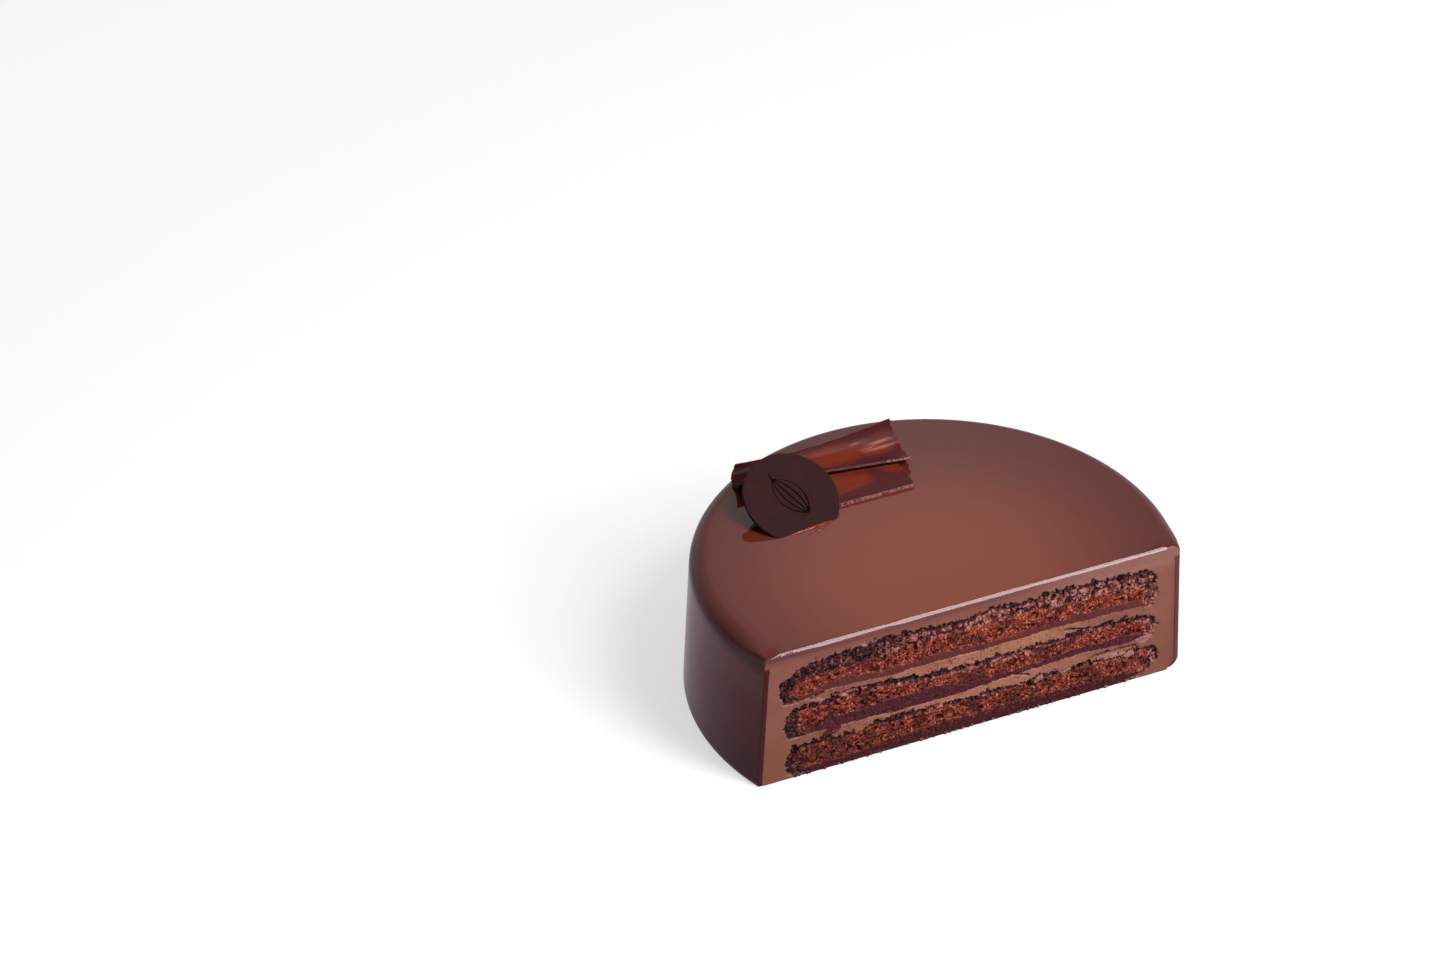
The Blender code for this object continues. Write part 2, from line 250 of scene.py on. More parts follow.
class StageSettings(PropertyGroup):
    floor: colour("Floor", "Pale floor", (188, 188, 188))
    floor_glow: colour("Floor Glow", "Light that the floor gives off", (196, 196, 196))
    mirrored: colour("Floor in the Gloss", "Floor as the cake's gloss shows it", (204, 196, 206))
    mirrored_glow: colour("Glow in the Gloss", "Light of the floor as the gloss shows it", (138, 130, 142))
    bright: number("Bright Side", "Room light from the back right", 0.60)
    dim: number("Dim Side", "Room light from the front left", 0.15)
    card: number("Card", "Strength of the soft card behind the cake", 0.55)
    key: number("Key Light", "Power of the long soft light", 17.0, unit="POWER")
    lens: number("Lens", "Focal length of the camera in mm", 114.14, least=1.0)


# Fields on the cut face, in mm


def smooth_noise(x, z, size, seed):
    """Noise from -1 to 1 with bumps about size across."""
    table = np.random.default_rng(seed).uniform(-1, 1, (TABLE_SIZE, TABLE_SIZE))
    u, v = x / size, z / size
    i, j = np.floor(u).astype(int), np.floor(v).astype(int)
    fu, fv = u - i, v - j
    fu, fv = fu * fu * (3 - 2 * fu), fv * fv * (3 - 2 * fv)

    def corner(di, dj):
        return table[(i + di) % TABLE_SIZE, (j + dj) % TABLE_SIZE]

    low = corner(0, 0) * (1 - fu) + corner(1, 0) * fu
    high = corner(0, 1) * (1 - fu) + corner(1, 1) * fu
    return low * (1 - fv) + high * fv


def rough_noise(x, z, size, seed, octaves=4):
    """Sum of ever finer noise, from about -1 to 1."""
    total = np.zeros_like(x)
    for octave in range(octaves):
        scale = 2.1**octave
        total += smooth_noise(x + 7.3 * octave, z - 3.1 * octave, size / scale, seed + octave) / 1.8**octave
    return total / 1.6


def pores(x, z, size, seed, share, smallest, largest):
    """Depth in mm of round pores. A square of the given size holds a pore with chance share."""
    random = np.random.default_rng(seed)
    squares = (TABLE_SIZE, TABLE_SIZE)
    shift_x, shift_z = random.uniform(0, 1, (2, *squares))
    radii = random.uniform(smallest, largest, squares) * (random.uniform(0, 1, squares) < share)
    i, j = np.floor(x / size).astype(int), np.floor(z / size).astype(int)
    depth = np.zeros_like(x)
    for di in (-1, 0, 1):
        for dj in (-1, 0, 1):
            a, b = (i + di) % TABLE_SIZE, (j + dj) % TABLE_SIZE
            from_x = x - (i + di + shift_x[a, b]) * size
            from_z = z - (j + dj + shift_z[a, b]) * size
            room = radii[a, b] ** 2 - from_x**2 - from_z**2
            depth = np.maximum(depth, np.sqrt(np.maximum(room, 0)))
    return depth


def clefts(x, z, size, seed):
    """Sharp valleys from 0 to 1 between rounded, uneven grains."""
    wide = np.clip(1 - 2.4 * np.abs(smooth_noise(x, z, size, seed)), 0, 1)
    narrow = np.clip(1 - 2.4 * np.abs(smooth_noise(x + 3.7, z, size / 2.1, seed + 1)), 0, 1)
    return np.clip(0.7 * wide**2 + 0.55 * narrow**2, 0, 1)


def line(points, at):
    along, value = zip(*points)
    return np.interp(at, along, value)


def ease(value, low, high):
    """0 below low, 1 above high and smooth between. Low may be above high."""
    share = np.clip((value - low) / (high - low), 0, 1)
    return share * share * (3 - 2 * share)


def off_stroke(x, z, start, end):
    """Distance in mm from a straight stroke."""
    run = np.array(end, float) - np.array(start, float)
    share = np.clip(((x - start[0]) * run[0] + (z - start[1]) * run[1]) / (run @ run), 0, 1)
    return np.hypot(x - start[0] - share * run[0], z - start[1] - share * run[1])


def in_smear(x, z, smear):
    """Above 0 inside a smear of cream, with a torn outline."""
    middle_x, middle_z, long_half, high_half, slope = smear
    from_x = x - middle_x
    from_z = z - middle_z - slope * from_x
    torn = 0.34 * rough_noise(x, z, 1.6, 71, 3) + 0.16 * smooth_noise(x, z, 0.5, 75)
    return 1 - np.sqrt((from_x / long_half) ** 2 + (from_z / high_half) ** 2) + torn


def mousse_radius(z, right):
    """Radius in mm of the mousse's outside at heights z, drawn in at the foot on the right."""
    sizes = bpy.context.scene.cake_sizes
    side = sizes.glaze_side / MM
    rim = (sizes.right_rounding if right else sizes.corner_rounding) / MM - side
    top = (HEIGHT - sizes.glaze_top) / MM
    narrow, wide = sizes.top_radius / MM - side, BASE_RADIUS / MM - side
    rim_start = top - rim
    over = np.clip(z - rim_start, 0, rim)
    rounded = narrow - rim + np.sqrt(rim**2 - over**2)
    slope_start = (HEIGHT - sizes.rim_rounding) / MM
    straight = narrow + (wide - narrow) * np.clip(1 - z / slope_start, 0, 1)
    return np.where(z > rim_start, rounded, straight) - foot_pull(z, 1.0 if right else 0.0)


def foot_pull(z, rightness):
    """How far in mm the foot is drawn in: a little on the left, a soft chamfer on the right."""
    reach = 1.2 + 3.0 * rightness
    deepest = 0.5 + 2.3 * rightness
    return deepest * np.clip(1 - z / reach, 0, 1) ** 1.6


# Meshes


def finished_mesh(shape, name, sharp=None):
    """The mesh of a built shape, smooth but for its edges over the angle sharp in degrees."""
    mesh = bpy.data.meshes.new(name)
    shape.to_mesh(mesh)
    shape.free()
    mesh.shade_smooth()
    if sharp:
        mesh.set_sharp_from_angle(angle=math.radians(sharp))
    return mesh


def add_field(mesh, name, values):
    """Writes one value for each vertex into the mesh under a name."""
    mesh.attributes.new(name, "FLOAT", "POINT").data.foreach_set("value", values)


# Layers of the cut face


def torn(x, z):
    """Places moved about by torn crumb, for reading the sponges' outlines."""
    shift_x = 1.3 * rough_noise(x, z, 3.0, 11, 4) + 0.45 * smooth_noise(x, z, 0.65, 15)
    shift_z = 1.2 * rough_noise(x, z, 2.7, 21, 4) + 0.45 * smooth_noise(x, z, 0.65, 25)
    return x + shift_x, z + shift_z


def sponge_cells(sponge, x, z):
    """True where a cell is crumb of this sponge. Its top and ends are torn and its foot is smoother."""
    lines = SPONGE_LINES[sponge]
    torn_x, torn_z = torn(x, z)
    above = z + 0.3 * (torn_z - z) > line(lines["foot"], x)
    tufts = 0.75 * smooth_noise(x + 0.2 * z, 0.45 * z, 0.8, 27) + 0.5 * smooth_noise(x, 0.5 * z, 0.42, 29)
    below = torn_z + tufts < line(lines["top"], torn_x)
    within = (torn_x > line(lines["left"], z)) & (torn_x < line(lines["right"], z))
    return above & below & within


def cell_layers(x, z):
    """The layer of each cell of the cut face."""
    layers = np.full(x.shape, MOUSSE)
    for cream, (left, right, low, high) in CREAM_SPANS.items():
        layers[(x > left) & (x < right) & (z > low) & (z < high)] = cream
    for sponge in SPONGES:
        layers[sponge_cells(sponge, x, z)] = sponge
    start, end, half = CRUMB_BRIDGE
    torn_x, torn_z = torn(x, z)
    bridge = (off_stroke(torn_x, torn_z, start, end) < half) & (z > 11.5)
    layers[bridge & (layers != SPONGE_BOTTOM)] = SPONGE_MIDDLE
    return tidy_cells(layers)


def neighbours(cells):
    """The array shifted one cell each way, with its border repeated."""
    wide = np.pad(cells, 1, mode="edge")
    return [wide[:-2, 1:-1], wide[2:, 1:-1], wide[1:-1, :-2], wide[1:-1, 2:]]


def tidy_cells(layers):
    """Leaves each layer in one piece, with no cells that touch at a corner only."""
    for _ in range(2):
        votes = []
        for layer in range(len(LAYER_NODES)):
            near = sum((cells == layer).astype(int) for cells in neighbours(layers))
            votes.append(near + 1.5 * (layers == layer))
        layers = np.argmax(votes, axis=0)
    for _ in range(4):
        layers = without_corners(without_islands(layers))
    return layers


def without_islands(layers):
    """Cells that aren't joined to their layer's largest part take the layer of a neighbour."""
    ids = np.arange(layers.size).reshape(layers.shape)
    while True:
        before = ids
        for near_ids, near_layers in zip(neighbours(ids), neighbours(layers)):
            ids = np.where(near_layers == layers, np.minimum(ids, near_ids), ids)
        ids = ids.ravel()[ids]
        if (ids == before).all():
            break
    kept = np.full(layers.shape, -1)
    for layer in range(len(LAYER_NODES)):
        names, counts = np.unique(ids[layers == layer], return_counts=True)
        kept[(layers == layer) & (ids == names[counts.argmax()])] = layer
    while (kept < 0).any():
        for near in neighbours(kept):
            kept = np.where(kept < 0, near, kept)
    return kept


def without_corners(layers):
    """Fills one cell of each two by two block in which a layer's cells touch at a corner only."""
    layers = layers.copy()
    for _ in range(60):
        a, b, c, d = layers[:-1, :-1], layers[:-1, 1:], layers[1:, :-1], layers[1:, 1:]
        rising = (a == d) & (a != b) & (a != c)
        falling = (b == c) & (b != a) & (b != d) & ~rising
        if not (rising.any() or falling.any()):
            break
        layers[:-1, 1:][rising] = a[rising]
        layers[:-1, :-1][falling] = b[falling]
    return layers


def corner_share(cells):
    """How much of the four cells round each corner of the grid is marked, softened once."""
    wide = np.pad(cells.astype(float), 1, mode="edge")
    share = (wide[:-1, :-1] + wide[1:, :-1] + wide[:-1, 1:] + wide[1:, 1:]) / 4
    return (share * 2 + sum(neighbours(share)) * 0.5) / 4


def crack_field(x, z):
    """Where the cracks between cream and crumb run, from 0 to 1. They are recessed, and their dark colour is
    painted shade.
    """
    bent_x = x + 0.5 * rough_noise(x, z, 1.5, 81, 3)
    bent_z = z + 0.4 * rough_noise(x, z, 1.5, 85, 3)
    cracks = np.zeros_like(x)
    for start, end, half in CRACKS:
        away = off_stroke(bent_x, bent_z, start, end)
        cracks = np.maximum(cracks, ease(away, half + 0.25, half - 0.1))
    return cracks


def crumb_looks(x, z):
    """Fields of the sponge: its depth behind the knife in mm, and the others from 0 to 1."""
    warp_x = x + 0.55 * rough_noise(x, z, 1.4, 31, 4) + 0.22 * rough_noise(x, z, 0.6, 35, 2)
    warp_z = z + 0.55 * rough_noise(x, z, 1.4, 41, 4) + 0.22 * rough_noise(x, z, 0.6, 45, 2)
    big = pores(warp_x, warp_z * 1.3, 3.1, 51, 0.34, 0.4, 1.0)
    caves = pores(warp_x + 1.7, warp_z * 1.5, 2.3, 55, 0.34, 0.3, 0.9) * ease(z + 0.12 * x, 34.0, 16.0)
    middling = pores(warp_x, warp_z * 1.15, 1.4, 52, 0.45, 0.2, 0.5)
    small = pores(warp_x, warp_z, 0.75, 53, 0.60, 0.12, 0.32)
    holes = np.maximum(np.maximum(0.95 * big, 1.3 * middling), np.maximum(1.35 * small, 1.3 * caves))
    crust, seep, rim = soaked_zones(x, z)
    coarse = clefts(warp_x, 0.85 * warp_z, 2.4, 57)
    fine = clefts(warp_x, warp_z, 1.5, 58)
    uneven = 0.75 + 0.75 * rough_noise(x, z, 2.1, 59, 3)
    gaps = uneven * (0.5 * fine * (1 - crust) + 0.95 * coarse * crust)
    crest = 1 - fine * (1 - crust) - coarse * crust
    hollow = np.maximum(holes, gaps) * (1 - 0.7 * seep)
    lumps = rough_noise(x, z, 4.5, 61, 3)
    grain = rough_noise(x + 0.15 * z, 0.5 * z, 0.8, 65, 3)
    depth = 0.40 + 0.34 * lumps + 0.22 * grain * (1 - 0.5 * seep) + hollow
    depth = depth + 0.2 * crust - 0.1 * seep
    cracks = crack_field(x, z)
    film = np.zeros_like(x)
    for smear in SMEARS:
        film = np.maximum(film, ease(in_smear(x, z, smear), 0.0, 0.16))
    limit = bpy.context.scene.cake_sizes.crumb_depth / MM
    depth = np.clip(depth, -0.1, limit)
    depth = depth * (1 - film) + (0.02 + 0.1 * rough_noise(x, z, 1.2, 91, 3)) * film
    # Mask of the painted shade in the pores' hollows
    pore = np.clip(hollow / 0.62, 0, 1) * (1 - film)
    crest = crest * (1 - film)
    looks = {"depth": depth, "pore": pore, "crest": crest, "crust": crust, "seep": seep, "film": film}
    return {**looks, "rim": rim, "crack": cracks}


def soaked_zones(x, z):
    """Where the sponge is dark: its wet crust, the smooth band at its foot and the black-brown rim."""
    shift = 0.9 * rough_noise(x, z, 3.0, 101, 4)
    uneven = rough_noise(x, z, 4.2, 107, 4)
    crust = np.zeros_like(x)
    seep = np.zeros_like(x)
    rim = np.zeros_like(x)
    for sponge, lines in SPONGE_LINES.items():
        inside = (z > line(lines["foot"], x) - 1.2) & (z < line(lines["top"], x) + 1.4)
        over = ease(z + shift - line(lines["crust"], x), -0.9, 0.9)
        left_end = ease(x + 3.4 * uneven - line(lines["left"], z), 7.6, 3.4)
        right_end = ease(line(lines["right"], z) - x + 2.6 * uneven, 5.4, 2.4)
        crust = np.where(inside, np.maximum(over, np.maximum(left_end, right_end)), crust)
        under = ease(line(lines["seep"], x) - z + 0.7 * shift, -0.25, 0.3)
        seep = np.where(inside, under * (1 - left_end) * (1 - right_end), seep)
        upmost = ease(z + 1.3 * shift - line(lines["top"], x), -2.1, -0.5)
        rim = np.where(inside, np.maximum(upmost, 0.38 * np.maximum(left_end, right_end)), rim)
    return crust, seep, rim


def smooth_looks(x, z):
    """Fields of mousse and cream: depth in mm, and speck from 0 to 1 where crumb is dragged into them."""
    streaks = smooth_noise(x + 0.12 * z, z * 0.16, 0.55, 111)
    streaks = streaks + 0.6 * smooth_noise(x + 0.1 * z, z * 0.12, 0.28, 113)
    by_crust = ease(z, 42.5, 45.5) * ease(x, 70, 60)
    sag = rough_noise(x, z, 9.0, 115, 3)
    depth = 0.14 + 0.05 * sag + 0.045 * streaks * by_crust
    cream = ease(np.abs(z - 29), 3.5, 2.5) + ease(np.abs(z - 14), 3.0, 2.2)
    inner = ease(np.abs(x), 69.0, 64.0)
    dragged = 0.10 + 0.16 * rough_noise(x, z, 1.9, 121, 3) + 0.05 * smooth_noise(x, z, 0.5, 125)
    depth = depth + cream * inner * dragged
    chance = smooth_noise(x, z, 5.0, 131) * 0.3 + smooth_noise(x, z, 0.62, 133)
    speck = ease(chance, 0.62, 0.80) * inner * ease(z, 47.0, 45.5)
    cracks = crack_field(x, z)
    depth = depth - 0.16 * speck + 1.1 * cracks
    return {"depth": depth, "speck": speck, "crack": cracks}


def cut_face():
    """The whole cut face as one mesh with its fields as attributes, and the layer of each cell."""
    sizes = bpy.context.scene.cake_sizes
    top = (HEIGHT - sizes.glaze_top) / MM
    rows = round(top * MM / sizes.cell)
    columns = round(2 * (BASE_RADIUS - 0.006) / sizes.cell)
    shape = bmesh.new()
    bmesh.ops.create_grid(shape, x_segments=columns, y_segments=rows, size=1.0)
    mesh = bpy.data.meshes.new("cut face")
    shape.to_mesh(mesh)
    shape.free()
    flat = np.empty(len(mesh.vertices) * 3)
    mesh.vertices.foreach_get("co", flat)
    flat = flat.reshape(rows + 1, columns + 1, 3)
    z = (flat[:, :, 1] + 1) / 2 * top
    half_left = np.sqrt(mousse_radius(z, False) ** 2 - (CUT_OFFSET / MM) ** 2)
    half_right = np.sqrt(mousse_radius(z, True) ** 2 - (CUT_OFFSET / MM) ** 2)
    x = flat[:, :, 0] * np.where(flat[:, :, 0] < 0, half_left, half_right)
    middle_x = (x[:-1, :-1] + x[1:, 1:]) / 2
    middle_z = (z[:-1, :-1] + z[1:, 1:]) / 2
    layers = cell_layers(middle_x, middle_z)
    of_sponge = corner_share(np.isin(layers, SPONGES))
    crumb = crumb_looks(x, z)
    smooth = smooth_looks(x, z)
    depth = crumb["depth"] * of_sponge + smooth["depth"] * (1 - of_sponge)
    depth = depth + 0.9 * crumb["crack"] * of_sponge
    depth = np.clip(depth, -0.15, sizes.crumb_depth / MM + 0.1)
    depth = depth * ease(z, -0.3, 1.6)
    place = np.stack([x * MM, CUT_Y + depth * MM, z * MM], axis=-1)
    mesh.vertices.foreach_set("co", place.ravel())
    fields = {**crumb, "pore": crumb["pore"] * of_sponge, "speck": smooth["speck"]}
    del fields["depth"]
    for name, values in fields.items():
        add_field(mesh, name, values.ravel())
    return mesh, layers


def pull_back(shape, insert_radius, rings):
    """Draws a layer's border back round the cake's circle and closes it there."""
    radius_of = shape.verts.layers.float.new("circle")
    share_of = shape.verts.layers.float.new("share")
    for vertex in shape.verts:
        circle = max(insert_radius, math.hypot(vertex.co.x, CUT_OFFSET))
        vertex[radius_of] = circle
        vertex[share_of] = vertex.co.x / math.sqrt(circle**2 - CUT_OFFSET**2)
    edges = [edge for edge in shape.edges if edge.is_boundary]
    for ring in range(rings + 1):
        part = 0.022 + 0.976 * (1 - math.cos(math.pi * ring / rings)) / 2
        pulled = bmesh.ops.extrude_edge_only(shape, edges=edges)["geom"]
        edges = [item for item in pulled if isinstance(item, bmesh.types.BMEdge)]
        for vertex in (item for item in pulled if isinstance(item, bmesh.types.BMVert)):
            circle = vertex[radius_of]
            behind = -CUT_OFFSET + part * (circle + CUT_OFFSET)
            vertex.co.x = vertex[share_of] * math.sqrt(circle**2 - behind**2)
            vertex.co.y = AXIS_Y + behind
        edges = [edge for edge in edges if edge.is_boundary]
    bmesh.ops.triangle_fill(shape, edges=edges, use_beauty=False, use_dissolve=False, normal=(0, 1, 0))
    bmesh.ops.recalc_face_normals(shape, faces=shape.faces[:])
    shape.verts.layers.float.remove(shape.verts.layers.float["circle"])
    shape.verts.layers.float.remove(shape.verts.layers.float["share"])


def layer_mesh(face, layers, layer):
    """One layer cut out of the face and pulled back into the cake."""
    sizes = bpy.context.scene.cake_sizes
    shape = bmesh.new()
    shape.from_mesh(face)
    cells = shape.faces[:]
    others = [cells[index] for index in np.flatnonzero(layers.ravel() != layer)]
    bmesh.ops.delete(shape, geom=others, context="FACES")
    pull_back(shape, sizes.insert_radius, sizes.rings)
    return finished_mesh(shape, LAYER_NODES[layer], 65)


# Materials


def add_node(tree, kind, inputs=None, **settings):
    """A node with its settings. An input given as a socket is linked, and any other is set."""
    made = tree.nodes.new(kind)
    for name, value in settings.items():
        setattr(made, name, value)
    for name, value in (inputs or {}).items():
        if isinstance(value, bpy.types.NodeSocket):
            tree.links.new(value, made.inputs[name])
        else:
            made.inputs[name].default_value = value
    return made


def mixed(tree, share, first, second):
    """Colour between two colours or sockets. Inputs 6 and 7 of the node are its colours."""
    pair = [each if isinstance(each, bpy.types.NodeSocket) else (*each, 1.0) for each in (first, second)]
    inputs = {0: share, 6: pair[0], 7: pair[1]}
    return add_node(tree, "ShaderNodeMix", inputs, data_type="RGBA").outputs[2]


def maths(tree, operation, first, second):
    return add_node(tree, "ShaderNodeMath", {0: first, 1: second}, operation=operation).outputs[0]


def shade(lit, share):
    """The colour made darker, to the given share of its light."""
    return tuple(share * c for c in lit)


def ranged(tree, value, low, high, to_low=0.0, to_high=1.0):
    """Smooth step of a value from one range to another."""
    inputs = {"Value": value, "From Min": low, "From Max": high, "To Min": to_low, "To Max": to_high}
    return add_node(tree, "ShaderNodeMapRange", inputs, interpolation_type="SMOOTHSTEP").outputs[0]


def shifted(tree, value, reach):
    """The value's difference from a half, times reach."""
    return maths(tree, "MULTIPLY", maths(tree, "SUBTRACT", value, 0.5), reach)


def attribute(tree, name):
    return add_node(tree, "ShaderNodeAttribute", attribute_name=name).outputs["Fac"]


def places(tree, stretch=(1, 1, 1), turn=0.0):
    """Object coordinates in metres, stretched and turned about the upright."""
    source = tree.nodes.new("ShaderNodeTexCoord").outputs["Object"]
    inputs = {"Vector": source, "Scale": stretch, "Rotation": (0, 0, turn)}
    return add_node(tree, "ShaderNodeMapping", inputs).outputs[0]


def parts_of(tree, place):
    """A place's three measures: across, back and up."""
    return add_node(tree, "ShaderNodeSeparateXYZ", {"Vector": place}).outputs[:3]


def grain(tree, place, scale, detail=3.0, roughness=0.55):
    inputs = {"Vector": place, "Scale": scale, "Detail": detail, "Roughness": roughness}
    return add_node(tree, "ShaderNodeTexNoise", inputs).outputs["Fac"]


def bumped(tree, height, distance, strength=1.0):
    inputs = {"Height": height, "Distance": distance, "Strength": strength}
    return add_node(tree, "ShaderNodeBump", inputs).outputs[0]


def new_material(name, roughness, **sockets):
    made = bpy.data.materials.new(name)
    made.use_nodes = True
    shader = made.node_tree.nodes["Principled BSDF"]
    shader.inputs["Roughness"].default_value = roughness
    for socket, value in sockets.items():
        shader.inputs[socket.replace("_", " ")].default_value = value
    return made, made.node_tree, shader


def finish_with(tree, shader, base, normal=None, roughness=None):
    tree.links.new(base, shader.inputs["Base Color"])
    if normal:
        tree.links.new(normal, shader.inputs["Normal"])
    if roughness:
        tree.links.new(roughness, shader.inputs["Roughness"])


def glaze_finish(colours):
    """Mirror glaze: a saturated brown body under a hard, wet gloss with the faintest waves."""
    made, tree, shader = new_material("chocolate mirror glaze", 0.05, IOR=1.35)
    place = places(tree)
    # Painted shade: the top darkens from the middle of the painted light towards the rim
    from_middle = add_node(tree, "ShaderNodeVectorMath", {0: place, 1: PAINTED_LIGHT_MIDDLE}, operation="DISTANCE")
    deep = ranged(tree, from_middle.outputs["Value"], *PAINTED_SHADE_REACH)
    base = mixed(tree, deep, colours.glaze, colours.glaze_painted_shade)
    across, back, up = parts_of(tree, place)
    down_side = ranged(tree, up, HEIGHT - 0.004, HEIGHT - 0.009)
    # Painted reflection: the upper side is paled with the cream film's colour
    side_painted_reflection = ranged(tree, up, 0.026, 0.042, 0.0, 0.22)
    side = mixed(tree, side_painted_reflection, colours.glaze_side, colours.film)
    # Painted shade: the side darkens towards its foot
    side = mixed(tree, ranged(tree, up, 0.026, 0.0, 0.0, 0.75), side, colours.glaze_painted_foot_shade)
    base = mixed(tree, down_side, base, side)
    at_cut = ranged(tree, back, CUT_Y + 0.0005, CUT_Y + 0.0003)
    on_top = ranged(tree, up, HEIGHT - 0.0055, HEIGHT - 0.0040)
    lower = ranged(tree, up, HEIGHT - 0.0021, HEIGHT - 0.0036)
    cut_top = mixed(tree, lower, colours.glaze_cut, shade(colours.mousse, 0.93))
    # Painted highlight: the glaze's cut band is paled with the film colour towards the right
    cut_top = mixed(tree, ranged(tree, across, 0.0, 0.05, 0.0, 0.35), cut_top, colours.film)
    skin = mixed(tree, ranged(tree, across, -0.02, 0.02), colours.glaze_skin, colours.skin_right)
    cut_band = mixed(tree, on_top, skin, cut_top)
    base = mixed(tree, at_cut, base, cut_band)
    waves = bumped(tree, grain(tree, place, 30.0, 1.0), 0.00003)
    finish_with(tree, shader, base, waves)
    return made


def soft_finish(name, base_colour, edge_colour, tan_colour):
    """Mousse or cream: satin, darker and glaze-stained at the skin, tan at the middle, with dragged crumb."""
    colours = bpy.context.scene.cake_colours
    made, tree, shader = new_material(
        name, 0.42, IOR=1.4, Subsurface_Weight=0.12, Subsurface_Scale=0.002, Specular_IOR_Level=0.45
    )
    place = places(tree)
    across, _, up = parts_of(tree, place)
    cloud = grain(tree, place, 90.0, 4.0)
    blotch = grain(tree, place, 700.0, 3.0)
    off_middle = maths(tree, "ABSOLUTE", across, 0.0)
    tan_share = maths(tree, "MULTIPLY", ranged(tree, off_middle, 0.056, 0.018), 0.85)
    base = mixed(tree, ranged(tree, up, 0.030, 0.002, 0.0, 0.9), base_colour, colours.mousse_low)
    base = mixed(tree, tan_share, base, tan_colour)
    base = mixed(tree, ranged(tree, cloud, 0.35, 0.75, 0.0, 0.35), base, edge_colour)
    under_glaze = ranged(tree, up, HEIGHT - 0.0056, HEIGHT - 0.0034, 0.0, 0.25)
    base = mixed(tree, under_glaze, base, edge_colour)
    # Painted highlight: pale film colour near the top on the right of the cut face
    near_top = ranged(tree, up, 0.041, 0.046)
    painted_highlight_right = maths(tree, "MULTIPLY", near_top, ranged(tree, across, 0.0, 0.05, 0.0, 0.35))
    base = mixed(tree, painted_highlight_right, base, colours.film)
    by_right = ranged(tree, across, 0.0705, 0.0755, 0.0, 0.7)
    by_left = ranged(tree, across, -0.0735, -0.0765, 0.0, 0.35)
    base = mixed(tree, by_right, base, edge_colour)
    base = mixed(tree, by_left, base, edge_colour)
    base = mixed(tree, ranged(tree, blotch, 0.55, 0.75, 0.0, 0.25), base, tan_colour)
    smeared = ranged(tree, blotch, 0.35, 0.65, 0.3, 0.9)
    base = mixed(tree, maths(tree, "MULTIPLY", attribute(tree, "film"), smeared), base, colours.film)
    base = mixed(tree, attribute(tree, "speck"), base, colours.crust)
    # Painted shade in the cracks
    base = mixed(tree, attribute(tree, "crack"), base, colours.crumb_pore_shade)
    fine = bumped(tree, grain(tree, place, 1500.0, 3.0), 0.00004)
    finish_with(tree, shader, base, fine)
    return made


